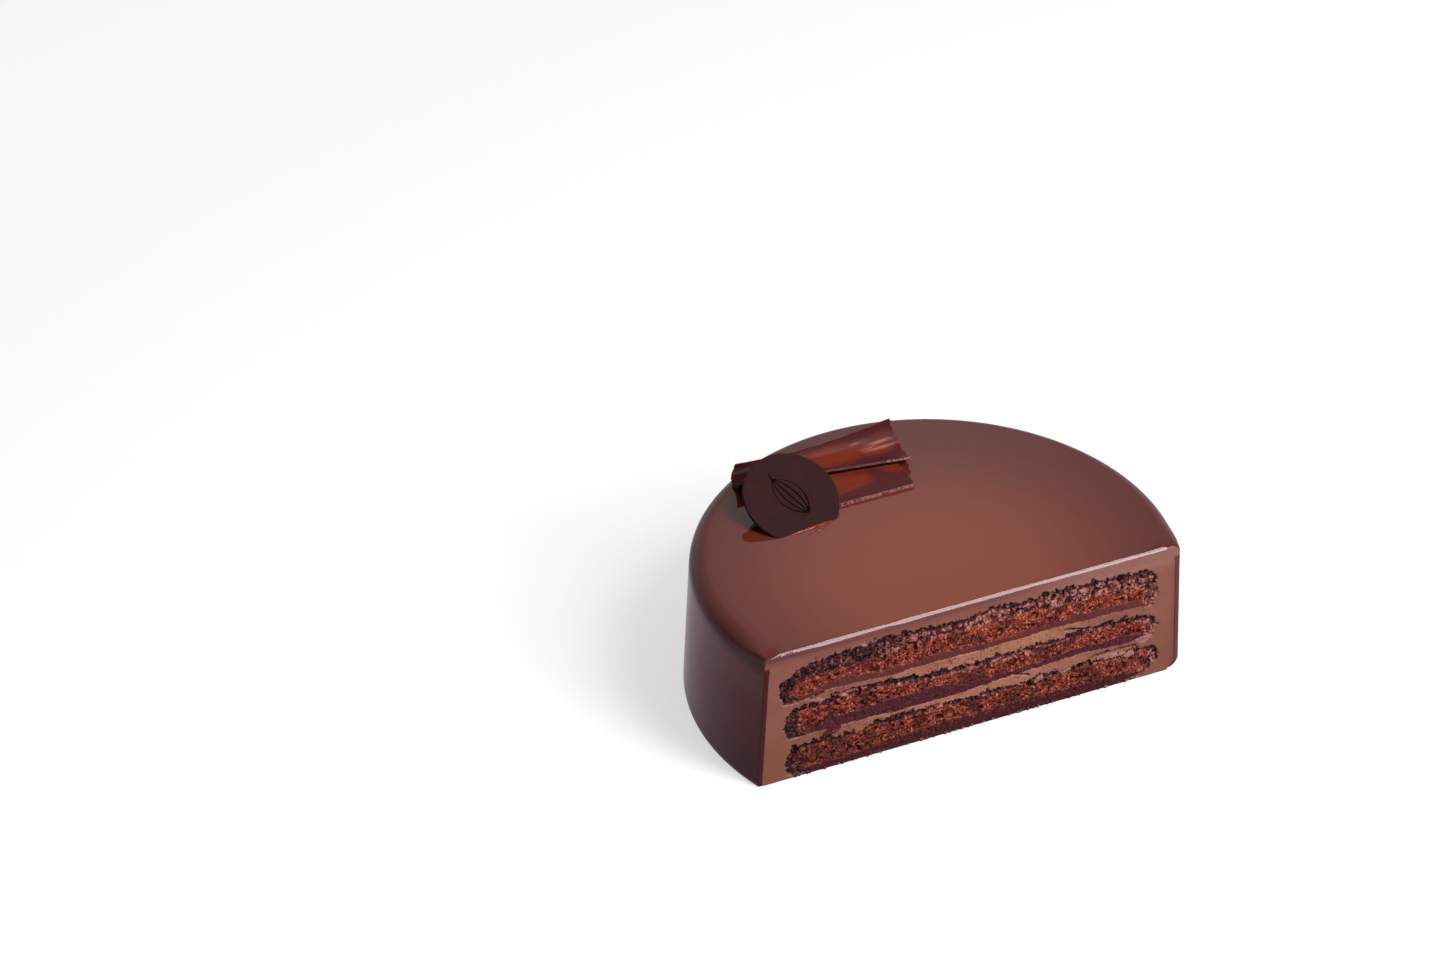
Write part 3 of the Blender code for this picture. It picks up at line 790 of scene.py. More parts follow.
def crumb_finish(colours):
    """Sponge: dry orange-brown crumb with painted highlight on its crests, painted shade in its pores and
    clefts, a wet crust with painted glints, a smooth soaked foot and films of cream.
    """
    made, tree, shader = new_material("chocolate sponge crumb", 0.85, IOR=1.4, Specular_IOR_Level=0.22)
    place = places(tree)
    across, _, up = parts_of(tree, place)
    patch = grain(tree, place, 210.0, 3.0, 0.6)
    mottle = grain(tree, place, 620.0, 4.0, 0.7)
    fine = grain(tree, place, 1250.0, 4.0, 0.75)
    speckle = grain(tree, place, 2300.0, 2.0)
    # Colours of painted shade in pores, clefts and holes
    pore_shade_colour = colours.crumb_pore_shade
    deep_pore_shade = shade(pore_shade_colour, 0.3)
    crest = attribute(tree, "crest")
    pore = attribute(tree, "pore")
    # Crests and fine grain: painted highlight on lit crests, painted shade in the clefts between them
    raised = maths(tree, "ADD", maths(tree, "MULTIPLY", crest, 0.75), shifted(tree, fine, 4.2))
    # Darker in random patches, more towards the bottom and the left
    lower = maths(tree, "ADD", patch, ranged(tree, up, 0.036, 0.008, 0.0, 0.055))
    darker_low_left = maths(tree, "ADD", lower, ranged(tree, across, -0.035, -0.066, 0.0, 0.035))
    crumb = mixed(tree, ranged(tree, raised, 0.66, 1.25), colours.crumb, colours.crumb_specks_and_highlight)
    crumb = mixed(tree, ranged(tree, mottle, 0.50, 0.38, 0.0, 0.8), crumb, colours.crumb_shade)
    crumb = mixed(tree, ranged(tree, darker_low_left, 0.53, 0.62, 0.0, 0.8), crumb, colours.crumb_shade)
    crumb = mixed(tree, ranged(tree, raised, 0.42, 0.02, 0.0, 0.95), crumb, pore_shade_colour)
    # Painted shade in the pores' hollows
    crumb = mixed(tree, ranged(tree, pore, 0.28, 0.85, 0.0, 0.95), crumb, pore_shade_colour)
    dark_left = ranged(tree, across, -0.015, -0.045, 0.0, 0.09)
    stained = maths(tree, "SUBTRACT", mottle, dark_left)
    crust = mixed(tree, ranged(tree, stained, 0.52, 0.40), colours.crust, colours.crust_dark_and_cleft_shade)
    # Painted highlight on the crust's raised grains, with random mottle, less of it to the left
    grain_highlight = maths(tree, "ADD", maths(tree, "MULTIPLY", crest, 1.1), shifted(tree, mottle, 1.6))
    grain_highlight = maths(tree, "SUBTRACT", grain_highlight, maths(tree, "MULTIPLY", dark_left, 2.8))
    crust = mixed(tree, ranged(tree, grain_highlight, 0.82, 1.22, 0.0, 0.85), crust, colours.crust_highlight)
    # Painted shade in the crust's clefts
    crust = mixed(tree, ranged(tree, raised, 0.42, -0.1, 0.0, 0.9), crust, colours.crust_dark_and_cleft_shade)
    upper_rim = maths(tree, "ADD", attribute(tree, "rim"), shifted(tree, mottle, 1.3))
    blackened = ranged(tree, upper_rim, 0.40, 0.62, 0.0, 0.9)
    crust = mixed(tree, blackened, crust, shade(colours.crust_dark_and_cleft_shade, 0.7))
    # Painted shade in the crust's pores
    crust = mixed(tree, ranged(tree, pore, 0.25, 0.9, 0.0, 0.95), crust, deep_pore_shade)
    # Painted glints on the wet crust
    crust = mixed(tree, ranged(tree, speckle, 0.60, 0.70, 0.0, 0.7), crust, colours.pale_break_and_glint)
    seep = mixed(tree, ranged(tree, fine, 0.36, 0.58), shade(colours.seep, 0.35), colours.seep)
    # Painted shade in the clefts of the foot
    seep = mixed(tree, ranged(tree, raised, 0.4, 0.0, 0.0, 0.6), seep, pore_shade_colour)
    seep = mixed(tree, ranged(tree, up, 0.025, 0.029, 0.0, 0.75), seep, colours.seep_top)
    seep = mixed(tree, ranged(tree, up, 0.0075, 0.0055, 0.0, 0.85), seep, colours.seep_low)
    low = ranged(tree, up, 0.010, 0.006)
    above_foot = ranged(tree, up, 0.0010, 0.0042)
    grainy = maths(tree, "MULTIPLY", above_foot, ranged(tree, mottle, 0.50, 0.60, 0.0, 0.8))
    grainy = maths(tree, "MULTIPLY", low, grainy)
    seep = mixed(tree, grainy, seep, colours.crumb)
    # Painted shade: dark spots standing for holes at the lowest foot
    holes = maths(tree, "MULTIPLY", low, ranged(tree, fine, 0.47, 0.38, 0.0, 0.9))
    seep = mixed(tree, holes, seep, deep_pore_shade)
    near_crust = maths(tree, "ADD", attribute(tree, "crust"), shifted(tree, mottle, 1.7))
    near_foot = maths(tree, "ADD", attribute(tree, "seep"), shifted(tree, mottle, 1.3))
    wet_crust = ranged(tree, near_crust, 0.4, 0.6)
    wet_foot = ranged(tree, near_foot, 0.38, 0.62)
    base = mixed(tree, wet_crust, crumb, crust)
    base = mixed(tree, wet_foot, base, seep)
    film = attribute(tree, "film")
    smeared = mixed(tree, ranged(tree, fine, 0.38, 0.62), colours.mousse, colours.film)
    base = mixed(tree, film, base, smeared)
    # Painted shade in the cracks
    base = mixed(tree, attribute(tree, "crack"), base, shade(colours.crumb_pore_shade, 0.7))
    wet = maths(tree, "MAXIMUM", wet_crust, maths(tree, "MAXIMUM", wet_foot, film))
    rough = ranged(tree, wet, 0.0, 1.0, 0.85, 0.4)
    relief = maths(tree, "ADD", fine, maths(tree, "MULTIPLY", speckle, 0.5))
    finish_with(tree, shader, base, bumped(tree, relief, 0.00014), rough)
    return made


def disc_finish(colours):
    """Dark chocolate with a satin bloom."""
    made, tree, shader = new_material("dark chocolate disc", 0.5, IOR=1.3, Specular_IOR_Level=0.05)
    place = places(tree)
    bloom = grain(tree, place, 160.0, 4.0)
    darker = shade(colours.disc, 0.88)
    base = mixed(tree, ranged(tree, bloom, 0.35, 0.7), darker, colours.disc)
    rough = ranged(tree, grain(tree, place, 500.0, 3.0), 0.3, 0.7, 0.45, 0.55)
    finish_with(tree, shader, base, bumped(tree, grain(tree, place, 1800.0, 3.0), 0.00002), rough)
    return made


def print_finish(colours):
    """Dull, dark cocoa ink."""
    made, tree, shader = new_material("cocoa print", 0.6, IOR=1.3, Specular_IOR_Level=0.05)
    place = places(tree)
    darker = shade(colours.print_ink, 0.6)
    finish_with(tree, shader, mixed(tree, grain(tree, place, 900.0), darker, colours.print_ink))
    return made


def bark_finish(colours):
    """Glossy strip, orange-brown where it is thin, with grain along it, a pale broken edge that is partly a
    painted highlight, a painted gleam and painted shade at the left end.
    """
    made, tree, shader = new_material("glossy chocolate strip", 0.3, IOR=1.3, Specular_IOR_Level=0.09)
    along = places(tree, (45, 700, 350), -0.12)
    ridge = grain(tree, along, 1.0, 4.0)
    cloud = grain(tree, places(tree, (60, 130, 130), -0.12), 1.0, 3.0)
    place = places(tree)
    warm = maths(tree, "ADD", attribute(tree, "warm"), shifted(tree, cloud, 1.6))
    base = mixed(tree, ranged(tree, warm, 0.0, 0.62), colours.bark_dark, colours.bark)
    base = mixed(tree, ranged(tree, ridge, 0.50, 0.36, 0.0, 0.4), base, colours.bark_dark)
    across = parts_of(tree, place)[0]
    streaks = ranged(tree, ridge, 0.44, 0.56, 0.1, 1.0)
    # Painted highlight: a pale gleam along the streaks
    painted_gleam = maths(tree, "MULTIPLY", ranged(tree, attribute(tree, "painted_gleam"), 0.0, 0.7, 0.0, 0.5), streaks)
    base = mixed(tree, painted_gleam, base, colours.film)
    # Painted shade at the strips' left ends
    left_end = ranged(tree, across, -0.034, -0.040, 0.0, 0.85)
    base = mixed(tree, left_end, base, shade(colours.bark_dark, 0.5))
    broken = attribute(tree, "broken")
    flecks = ranged(tree, grain(tree, place, 1600.0, 3.0), 0.36, 0.60)
    # Pale broken edge, partly a painted highlight
    base = mixed(tree, maths(tree, "MULTIPLY", broken, flecks), base, colours.pale_break_and_glint)
    rough = ranged(tree, broken, 0.0, 1.0, 0.3, 0.6)
    finish_with(tree, shader, base, bumped(tree, ridge, 0.00004), rough)
    return made


# Pieces


def in_scene(name, mesh, material):
    """A new object of the scene with its material."""
    mesh.materials.append(material)
    made = bpy.data.objects.new(name, mesh)
    bpy.context.scene.collection.objects.link(made)
    return made


def place_piece(name, mesh, material, slot, *nodes):
    """A finished piece of the cake: on the model's body, for its nodes, with its finish."""
    piece = in_scene(name, mesh, material)
    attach(piece, "root")
    if nodes:
        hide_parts(*nodes)
    return piece


def glaze_outline(sizes):
    """The skin's outline as (radius, height): down the outside and back up the inside."""
    rim, side, top = sizes.rim_rounding, sizes.glaze_side, sizes.glaze_top
    outline = [(share * (sizes.top_radius - rim), HEIGHT) for share in (0, 0.2, 0.4, 0.6, 0.8, 0.95)]
    turns = [math.radians(90 * step / RIM_STEPS) for step in range(RIM_STEPS + 1)]
    for turn in reversed(turns):
        outline.append((sizes.top_radius - rim + rim * math.cos(turn), HEIGHT - rim + rim * math.sin(turn)))
    walls = (0.85, 0.7, 0.55, 0.4, 0.25, 0.15, 0.09, 0.06, 0.035, 0.015, 0.0)
    for share in walls:
        height = share * (HEIGHT - rim)
        outline.append((BASE_RADIUS - (BASE_RADIUS - sizes.top_radius) * share, max(height, JUST_CLEAR)))
    inner = rim - side
    for share in walls[::-1]:
        height = share * (HEIGHT - top - inner)
        radius = BASE_RADIUS - side - (BASE_RADIUS - sizes.top_radius) * share
        outline.append((radius, max(height, JUST_CLEAR)))
    for turn in turns:
        radius = sizes.top_radius - side - inner + inner * math.cos(turn)
        outline.append((radius, HEIGHT - top - inner + inner * math.sin(turn)))
    outline.append((0.0, HEIGHT - top))
    return outline


def sharpen_corner(vertex, sizes):
    """Makes the top edge's rounding smaller towards the cut's ends."""
    from_cut = vertex.co.y - CUT_Y
    nearness = float(ease(from_cut / MM, 16.0, 1.0))
    corner = sizes.corner_rounding if vertex.co.x < 0 else sizes.right_rounding
    rim = sizes.rim_rounding
    across = Vector((vertex.co.x, vertex.co.y - AXIS_Y, 0))
    beyond = across.length - (sizes.top_radius - rim)
    above = vertex.co.z - (HEIGHT - rim)
    inner = rim - sizes.glaze_side
    if nearness == 0 or beyond <= 0 or above <= 0:
        return
    reach = math.hypot(beyond, above)
    smaller = rim + (corner - rim) * nearness
    if abs(reach - rim) < 0.0002:
        old, new, top, side = rim, smaller, HEIGHT, sizes.top_radius
    else:
        old, new = inner, smaller - sizes.glaze_side
        top, side = HEIGHT - sizes.glaze_top, sizes.top_radius - sizes.glaze_side
        above = vertex.co.z - (top - inner)
        if above <= 0:
            return
    turn = math.atan2(above, beyond)
    radius = side - new + new * math.cos(turn)
    vertex.co.z = top - new + new * math.sin(turn)
    placed = across.normalized() * radius
    vertex.co.x = placed.x
    vertex.co.y = max(AXIS_Y + placed.y, CUT_Y) if from_cut > 0.0001 else CUT_Y


def slope_cut_edge(vertex, sizes):
    """Slopes the glaze's outside down to the cut face, in a band that is glossy on top and narrow below."""
    from_cut = vertex.co.y - CUT_Y
    across = Vector((vertex.co.x, vertex.co.y - AXIS_Y, 0))
    radius = across.length
    wall = BASE_RADIUS - (BASE_RADIUS - sizes.top_radius) * vertex.co.z / (HEIGHT - sizes.rim_rounding)
    on_top = vertex.co.z > HEIGHT - 0.0005 or vertex.co.z > HEIGHT - 0.85 * sizes.glaze_top
    if not (on_top or radius > wall - 0.0005):
        return
    topness = min(max((vertex.co.z - HEIGHT + 0.0055) / 0.005, 0), 1)
    uneven = 1 + 0.35 * noise.fractal(Vector((vertex.co.x * 70, 3.0, 0.0)), 1.0, 2.0, 3)
    band = 0.0003 + (sizes.bead * uneven - 0.0003) * topness
    if from_cut >= band:
        return
    share = 1 - from_cut / band
    sink = 1.2 * band * (math.sqrt(share**2 + 0.02) - math.sqrt(0.02))
    rim = sizes.corner_rounding if vertex.co.x < 0 else sizes.right_rounding
    above_rim = max(vertex.co.z - HEIGHT + rim, 0)
    beyond_top = max(radius - (sizes.top_radius - rim), 0)
    lean = Vector((0, 0, above_rim)) + across.normalized() * beyond_top
    if lean.length < 1e-6:
        lean = Vector((0, 0, 1))
    vertex.co -= lean.normalized() * sink


def glaze_mesh(sizes):
    """The glaze as one closed skin: its outline turned round the cake, cut, and filled at the cut."""
    shape = bmesh.new()
    points = [shape.verts.new((r, AXIS_Y, z)) for r, z in glaze_outline(sizes)]
    edges = [shape.edges.new(pair) for pair in zip(points, points[1:])]
    bmesh.ops.spin(
        shape, geom=points + edges, cent=(0, AXIS_Y, 0), axis=(0, 0, 1), angle=2 * math.pi,
        steps=ROUND_STEPS, use_merge=True,
    )
    bmesh.ops.remove_doubles(shape, verts=shape.verts[:], dist=1e-6)
    for share in (1.6, 1.25, 1.0, 0.85, 0.7, 0.5, 0.3, 0.15, 0.04):
        bmesh.ops.bisect_plane(
            shape, geom=shape.verts[:] + shape.edges[:] + shape.faces[:], dist=1e-7,
            plane_co=(0, CUT_Y + sizes.bead * share, 0), plane_no=(0, 1, 0),
        )
    bmesh.ops.bisect_plane(
        shape, geom=shape.verts[:] + shape.edges[:] + shape.faces[:], dist=1e-7,
        plane_co=(0, CUT_Y, 0), plane_no=(0, -1, 0), clear_outer=True,
    )
    for vertex in shape.verts:
        rightness = 0.5 + 0.5 * vertex.co.x / BASE_RADIUS
        pull = float(foot_pull(vertex.co.z / MM, rightness**2)) * MM
        away = Vector((vertex.co.x, vertex.co.y - AXIS_Y, 0))
        if away.length > 0.5 * BASE_RADIUS:
            vertex.co -= away.normalized() * pull
            if vertex.co.y < CUT_Y + 0.0004:
                vertex.co.y = max(vertex.co.y, CUT_Y)
        sharpen_corner(vertex, sizes)
        slope_cut_edge(vertex, sizes)
    rim = [edge for edge in shape.edges if edge.is_boundary]
    bmesh.ops.holes_fill(shape, edges=rim, sides=0)
    bmesh.ops.recalc_face_normals(shape, faces=shape.faces[:])
    return finished_mesh(shape, "glaze", 50)


# The disc: its size, middle, which way it faces, how far it leans back and its edge's rounding
DISC_RADIUS = 0.0164
DISC_THICKNESS = 0.0012
DISC_CENTRE = (-0.0332, 0.0130, HEIGHT + 0.0056)
DISC_FACING = math.radians(5.6)
DISC_LEAN = math.radians(29.5)
DISC_EDGE = 0.00028

# The cocoa pod on the disc: half its length and width, the radius of its lines and how it is turned
POD_HALF_LONG = 0.0082
POD_HALF_WIDE = 0.0045
POD_LINE = 0.00026
POD_TURN = math.radians(24)

# The curled strips: radius of the curl, and at the left and right end the lines that bound them. "sag" is
# how far the far edge hangs at its middle. A pale edge, partly a painted highlight, is (from, to) along the
# near edge. A warm patch and a patch of painted gleam are each given as the middle along and across, and half
# the size each way.
STRIPS = {
    "bark_back": {
        "thickness": 0.0008,
        "radius": (0.0060, 0.0102),
        "floor_y": (0.0337, 0.0267),
        "far_x": (-0.0412, 0.0140),
        "floor_x": (-0.0445, 0.0152),
        "near_x": (-0.0455, 0.0142),
        "far_height": (0.0042, 0.0084),
        "near_height": (0.0040, 0.0027),
        "sag": 0.0016,
        "pale": (0.86, 1.1),
        "warm": ((0.58, 0.36, 0.34, 0.34), (0.86, 0.42, 0.16, 0.22)),
        "painted_gleam": ((0.89, 0.36, 0.16, 0.12), (0.80, 0.22, 0.10, 0.05)),
    },
    "bark_front": {
        "thickness": 0.0012,
        "radius": (0.0300, 0.0300),
        "floor_y": (0.0140, 0.0150),
        "far_x": (-0.0405, 0.0100),
        "floor_x": (-0.0425, 0.0108),
        "near_x": (-0.0502, 0.0098),
        "far_height": (0.0024, 0.0007),
        "near_height": (0.0004, 0.0006),
        "sag": 0.0,
        "pale": (0.3, 1.1),
        "warm": ((0.60, 0.26, 0.24, 0.46), (0.96, 0.05, 0.13, 0.34)),
        "painted_gleam": (),
    },
}


def between(pair, share):
    return pair[0] + (pair[1] - pair[0]) * share


def strip_point(sizes, along, across):
    """A point of a strip's middle surface: along from left to right, across from the far to the near edge."""
    radius = between(sizes["radius"], along)
    sag = sizes["sag"] * 4 * along * (1 - along)
    far_angle = math.acos(1 - (between(sizes["far_height"], along) - sag) / radius)
    near_angle = math.acos(1 - between(sizes["near_height"], along) / radius)
    angle = far_angle - (far_angle + near_angle) * across
    bend = math.sin(math.pi * min(max(across, 0), 1))
    edge_x = between(sizes["far_x" if across < 0.5 else "near_x"], along)
    floor_x = between(sizes["floor_x"], along)
    x = edge_x + (floor_x - edge_x) * bend
    y = between(sizes["floor_y"], along) + radius * math.sin(angle)
    z = HEIGHT + 0.0001 + sizes["thickness"] / 2 + radius * (1 - math.cos(angle))
    return Vector((x, y, z))


def patch_share(patches, along, across):
    """How far a place is inside the patches, from 0 at their edge to 1 at the middle of one."""
    most = 0.0
    for middle_along, middle_across, long_half, wide_half in patches:
        away = math.hypot((along - middle_along) / long_half, (across - middle_across) / wide_half)
        most = max(most, 1 - away)
    return most


def strip_mesh(name):
    """A curled strip with ragged, broken ends and a rippled face."""
    sizes = STRIPS[name]
    shape = bmesh.new()
    bmesh.ops.create_grid(shape, x_segments=190, y_segments=64, size=0.5)
    warm_of = shape.verts.layers.float.new("warm")
    painted_gleam_of = shape.verts.layers.float.new("painted_gleam")
    broken_of = shape.verts.layers.float.new("broken")
    seed = 3.0 if name == "bark_back" else 8.0
    for vertex in shape.verts:
        along, across = vertex.co.x + 0.5, 0.5 - vertex.co.y
        vertex[warm_of] = patch_share(sizes["warm"], along, across)
        vertex[painted_gleam_of] = patch_share(sizes["painted_gleam"], along, across)
        # Pale edge along the near edge, partly a painted highlight
        pale = sizes["pale"][0] < along < sizes["pale"][1] and across > 0.9
        vertex[broken_of] = 1.0 if pale else 0.14
        ragged = noise.fractal(Vector((16 * across, seed, 5 * round(along))), 1.0, 2.1, 5)
        wavy = noise.fractal(Vector((14 * along, seed + 4, 5 * round(across))), 1.0, 2.1, 5)
        along += 0.009 * ragged * (2 * along - 1) ** 3
        across += 0.010 * wavy * (2 * across - 1) ** 3
        place = strip_point(sizes, along, across)
        ripple = noise.fractal(Vector((5 * along, 6 * across, seed + 9)), 1.0, 2.0, 3)
        place.z += 0.00008 * ripple
        vertex.co = place
    bmesh.ops.recalc_face_normals(shape, faces=shape.faces[:])
    bmesh.ops.solidify(shape, geom=shape.faces[:], thickness=sizes["thickness"])
    bmesh.ops.recalc_face_normals(shape, faces=shape.faces[:])
    shape.normal_update()
    for vertex in shape.verts:
        steepest = max(edge.calc_face_angle(0.0) for edge in vertex.link_edges)
        if steepest < math.radians(50):
            vertex[broken_of] = 0.0
    return finished_mesh(shape, name, 50)


def disc_place():
    """Turns a flat disc at the origin to the disc's place on the cake."""
    lean = Matrix.Rotation(DISC_LEAN, 4, "X")
    facing = Matrix.Rotation(DISC_FACING, 4, "Z")
    return Matrix.Translation(DISC_CENTRE) @ facing @ lean


def disc_mesh():
    """A thin moulded disc with a soft edge."""
    shape = bmesh.new()
    bmesh.ops.create_cone(
        shape, cap_ends=True, segments=128, radius1=DISC_RADIUS, radius2=DISC_RADIUS, depth=DISC_THICKNESS
    )
    edges = [edge for edge in shape.edges if edge.calc_face_angle(0.0) > 1.0]
    bmesh.ops.bevel(
        shape, geom=edges, offset=DISC_EDGE, offset_type="OFFSET", segments=4, profile=0.5,
        affect="EDGES", material=-1,
    )
    caps = [face for face in shape.faces if len(face.verts) > 8]
    bmesh.ops.inset_region(shape, faces=caps, thickness=0.0009, depth=0.0)
    bmesh.ops.transform(shape, matrix=disc_place(), verts=shape.verts[:])
    bmesh.ops.recalc_face_normals(shape, faces=shape.faces[:])
    return finished_mesh(shape, "plaque", 40)


# Beads of glaze at the disc's foot, in metres: along and in front of the line where it stands in the glaze,
# and half the length, width and height of each
GLAZE_BEADS = (
    (0.0018, 0.0001, 0.0088, 0.0006, 0.0006),
    (0.0032, 0.0022, 0.0019, 0.0006, 0.0004),
    (0.0062, 0.0017, 0.0009, 0.0004, 0.0003),
    (-0.0006, 0.0026, 0.0009, 0.0004, 0.00025),
)


def beads_mesh():
    """Low beads of glaze that the disc pushed up where it stands."""
    half_thick = DISC_THICKNESS / 2
    drop = DISC_CENTRE[2] - HEIGHT + half_thick * math.cos(DISC_LEAN)
    reach = drop / math.tan(DISC_LEAN) + half_thick * math.sin(DISC_LEAN)
    facing = Matrix.Rotation(DISC_FACING, 4, "Z")
    shape = bmesh.new()
    for along, forward, *half in GLAZE_BEADS:
        ball = bmesh.ops.create_icosphere(shape, subdivisions=4, radius=1.0)["verts"]
        middle = Vector((along, -reach - forward, HEIGHT - DISC_CENTRE[2]))
        for vertex in ball:
            swell = 1 + 0.3 * noise.noise(Vector((vertex.co.x * half[0] * 350, along * 1000, 0.0)))
            size = Vector((half[0], half[1] * swell, half[2] * swell))
            vertex.co = Vector(DISC_CENTRE) + facing @ (middle + vertex.co * size)
    bmesh.ops.recalc_face_normals(shape, faces=shape.faces[:])
    return finished_mesh(shape, "glaze beads")


def pod_lines():
    """The drawn lines of a cocoa pod, as points on the disc's face in metres."""
    lines = []
    for bulge in (-1.0, -0.5, 0.0, 0.5, 1.0):
        points = []
        for step in range(25):
            along = step / 24
            swell = math.sin(math.pi * along) ** 0.75
            points.append((POD_HALF_WIDE * bulge * swell, POD_HALF_LONG * (2 * along - 1)))
        lines.append(points)
    stalk = ((0.0, 0.0), (0.0002, 0.0009), (0.0007, 0.0019))
    lines.append([(x, POD_HALF_LONG + up) for x, up in stalk])
    return lines


def pod_mesh():
    """The cocoa pod as thin raised lines, each a tube half sunk into the disc."""
    turn = Matrix.Rotation(POD_TURN, 4, "Z")
    lift = Matrix.Translation((0, 0.0006, DISC_THICKNESS / 2))
    place = disc_place() @ lift @ turn
    shape = bmesh.new()
    for points in pod_lines():
        ring = bmesh.ops.create_circle(shape, cap_ends=True, segments=8, radius=POD_LINE)["verts"]
        start = Vector((*points[0], 0))
        ahead = Vector((*points[1], 0)) - start
        turned = ahead.to_track_quat("Z", "X").to_matrix().to_4x4()
        bmesh.ops.transform(shape, matrix=Matrix.Translation(start) @ turned, verts=ring)
        face = ring[0].link_faces[0]
        for here, there in zip(points, points[1:]):
            step = Vector((*there, 0)) - Vector((*here, 0))
            old = face
            pulled = bmesh.ops.extrude_face_region(shape, geom=[old])["geom"]
            moved = [item for item in pulled if isinstance(item, bmesh.types.BMVert)]
            bmesh.ops.translate(shape, vec=step, verts=moved)
            face = next(item for item in pulled if isinstance(item, bmesh.types.BMFace))
            if here != points[0]:
                bmesh.ops.delete(shape, geom=[old], context="FACES_ONLY")
    bmesh.ops.transform(shape, matrix=place, verts=shape.verts[:])
    bmesh.ops.recalc_face_normals(shape, faces=shape.faces[:])
    return finished_mesh(shape, "plaque_print")


class CAKE_OT_glaze(Operator):
    """Pours the glaze over the top and the side"""

    bl_idname = "opera_cake.glaze"
    bl_label = "Glaze"

    def execute(self, context):
        mesh = glaze_mesh(context.scene.cake_sizes)
        place_piece("glaze_skin", mesh, glaze_finish(context.scene.cake_colours), "glaze", "glaze")
        return {"FINISHED"}


class CAKE_OT_layers(Operator):
    """Makes the mousse, the sponges and the creams from the cut face"""

    bl_idname = "opera_cake.layers"
    bl_label = "Mousse, Sponges and Creams"

    def execute(self, context):
        colours = context.scene.cake_colours
        mousse = soft_finish("chocolate mousse", colours.mousse, colours.mousse_edge, colours.mousse)
        cream = soft_finish("chocolate cream", colours.mousse, colours.mousse_edge, colours.cream)
        crumb = crumb_finish(colours)
        face, layers = cut_face()
        for layer, node in enumerate(LAYER_NODES):
            if layer in SPONGES:
                material, slot = crumb, "sponge"
            elif layer == MOUSSE:
                material, slot = mousse, "mousse"
            else:
                material, slot = cream, "cream"
            place_piece(f"cut_{node}", layer_mesh(face, layers, layer), material, slot, node)
        bpy.data.meshes.remove(face)
        place_piece("loose_crumbs", crumbs_mesh(), crumb, "sponge")
        return {"FINISHED"}


def crumb_spots(random):
    """Where loose crumbs lie, as (place, radius): along the foot of the cut and on it round the sponges."""
    spots = []
    for _ in range(FOOT_CRUMBS):
        x = random.uniform(-64, 67)
        radius = random.uniform(0.25, 0.55)
        out = random.uniform(-0.15, 0.25)
        spots.append((Vector((x * MM, CUT_Y - out * MM, 0.8 * radius * MM)), radius * MM))
    for sponge in SPONGES:
        for _ in range(SPONGE_CRUMBS):
            x = random.uniform(-64, 64)
            radius = random.uniform(0.16, 0.42)
            z = float(line(SPONGE_LINES[sponge]["top"], x)) + random.uniform(-0.6, 1.3)
            spots.append((Vector((x * MM, CUT_Y + 0.0001, z * MM)), radius * MM))
    return spots


def crumbs_mesh():
    """Loose crumbs, each a dented ball."""
    random = np.random.default_rng(17)
    shape = bmesh.new()
    for place, radius in crumb_spots(random):
        ball = bmesh.ops.create_icosphere(shape, subdivisions=2, radius=radius)["verts"]
        seed = Vector((place.x * 900, 5.0, place.z * 900))
        for vertex in ball:
            dent = noise.noise(vertex.co * (1.1 / radius) + seed)
            vertex.co = place + vertex.co * (1 + 0.55 * dent)
            vertex.co.z = max(vertex.co.z, 0.00002)
    bmesh.ops.recalc_face_normals(shape, faces=shape.faces[:])
    mesh = finished_mesh(shape, "crumbs")
    count = len(mesh.vertices)
    crust = random.uniform(0.4, 1, count // CRUMB_VERTICES + 1).repeat(CRUMB_VERTICES)[:count]
    add_field(mesh, "crust", crust)
    add_field(mesh, "crest", np.full(count, 0.8))
    return mesh


class CAKE_OT_disc(Operator):
    """Moulds the chocolate disc and draws a cocoa pod on it"""

    bl_idname = "opera_cake.disc"
    bl_label = "Chocolate Disc"

    def execute(self, context):
        colours = context.scene.cake_colours
        place_piece("plaque_disc", disc_mesh(), disc_finish(colours), "plaque", "plaque")
        place_piece("plaque_print", pod_mesh(), print_finish(colours), "plaque")
        place_piece("glaze_beads", beads_mesh(), glaze_finish(colours), "glaze")
        return {"FINISHED"}


class CAKE_OT_strips(Operator):
    """Breaks off the two curled strips of chocolate"""

    bl_idname = "opera_cake.strips"
    bl_label = "Chocolate Strips"

    def execute(self, context):
        material = bark_finish(context.scene.cake_colours)
        for name in STRIPS:
            place_piece(f"curled_{name}", strip_mesh(name), material, "bark", name)
        return {"FINISHED"}


def aimed(thing, place, aim):
    """Puts a light, card or camera in the scene at its place, and turns it to its aim."""
    bpy.context.scene.collection.objects.link(thing)
    thing.location = place
    thing.rotation_euler = (Vector(aim) - Vector(place)).to_track_quat("-Z", "Y").to_euler()


def soft_light(name, power, wide, high, place, aim):
    light = bpy.data.lights.new(name, "AREA")
    light.shape = "RECTANGLE"
    light.energy = power
    light.size = wide
    light.size_y = high
    aimed(bpy.data.objects.new(name, light), place, aim)


def flat_square(name, size):
    shape = bmesh.new()
    bmesh.ops.create_grid(shape, x_segments=8, y_segments=8, size=size)
    mesh = bpy.data.meshes.new(name)
    shape.to_mesh(mesh)
    shape.free()
    return mesh


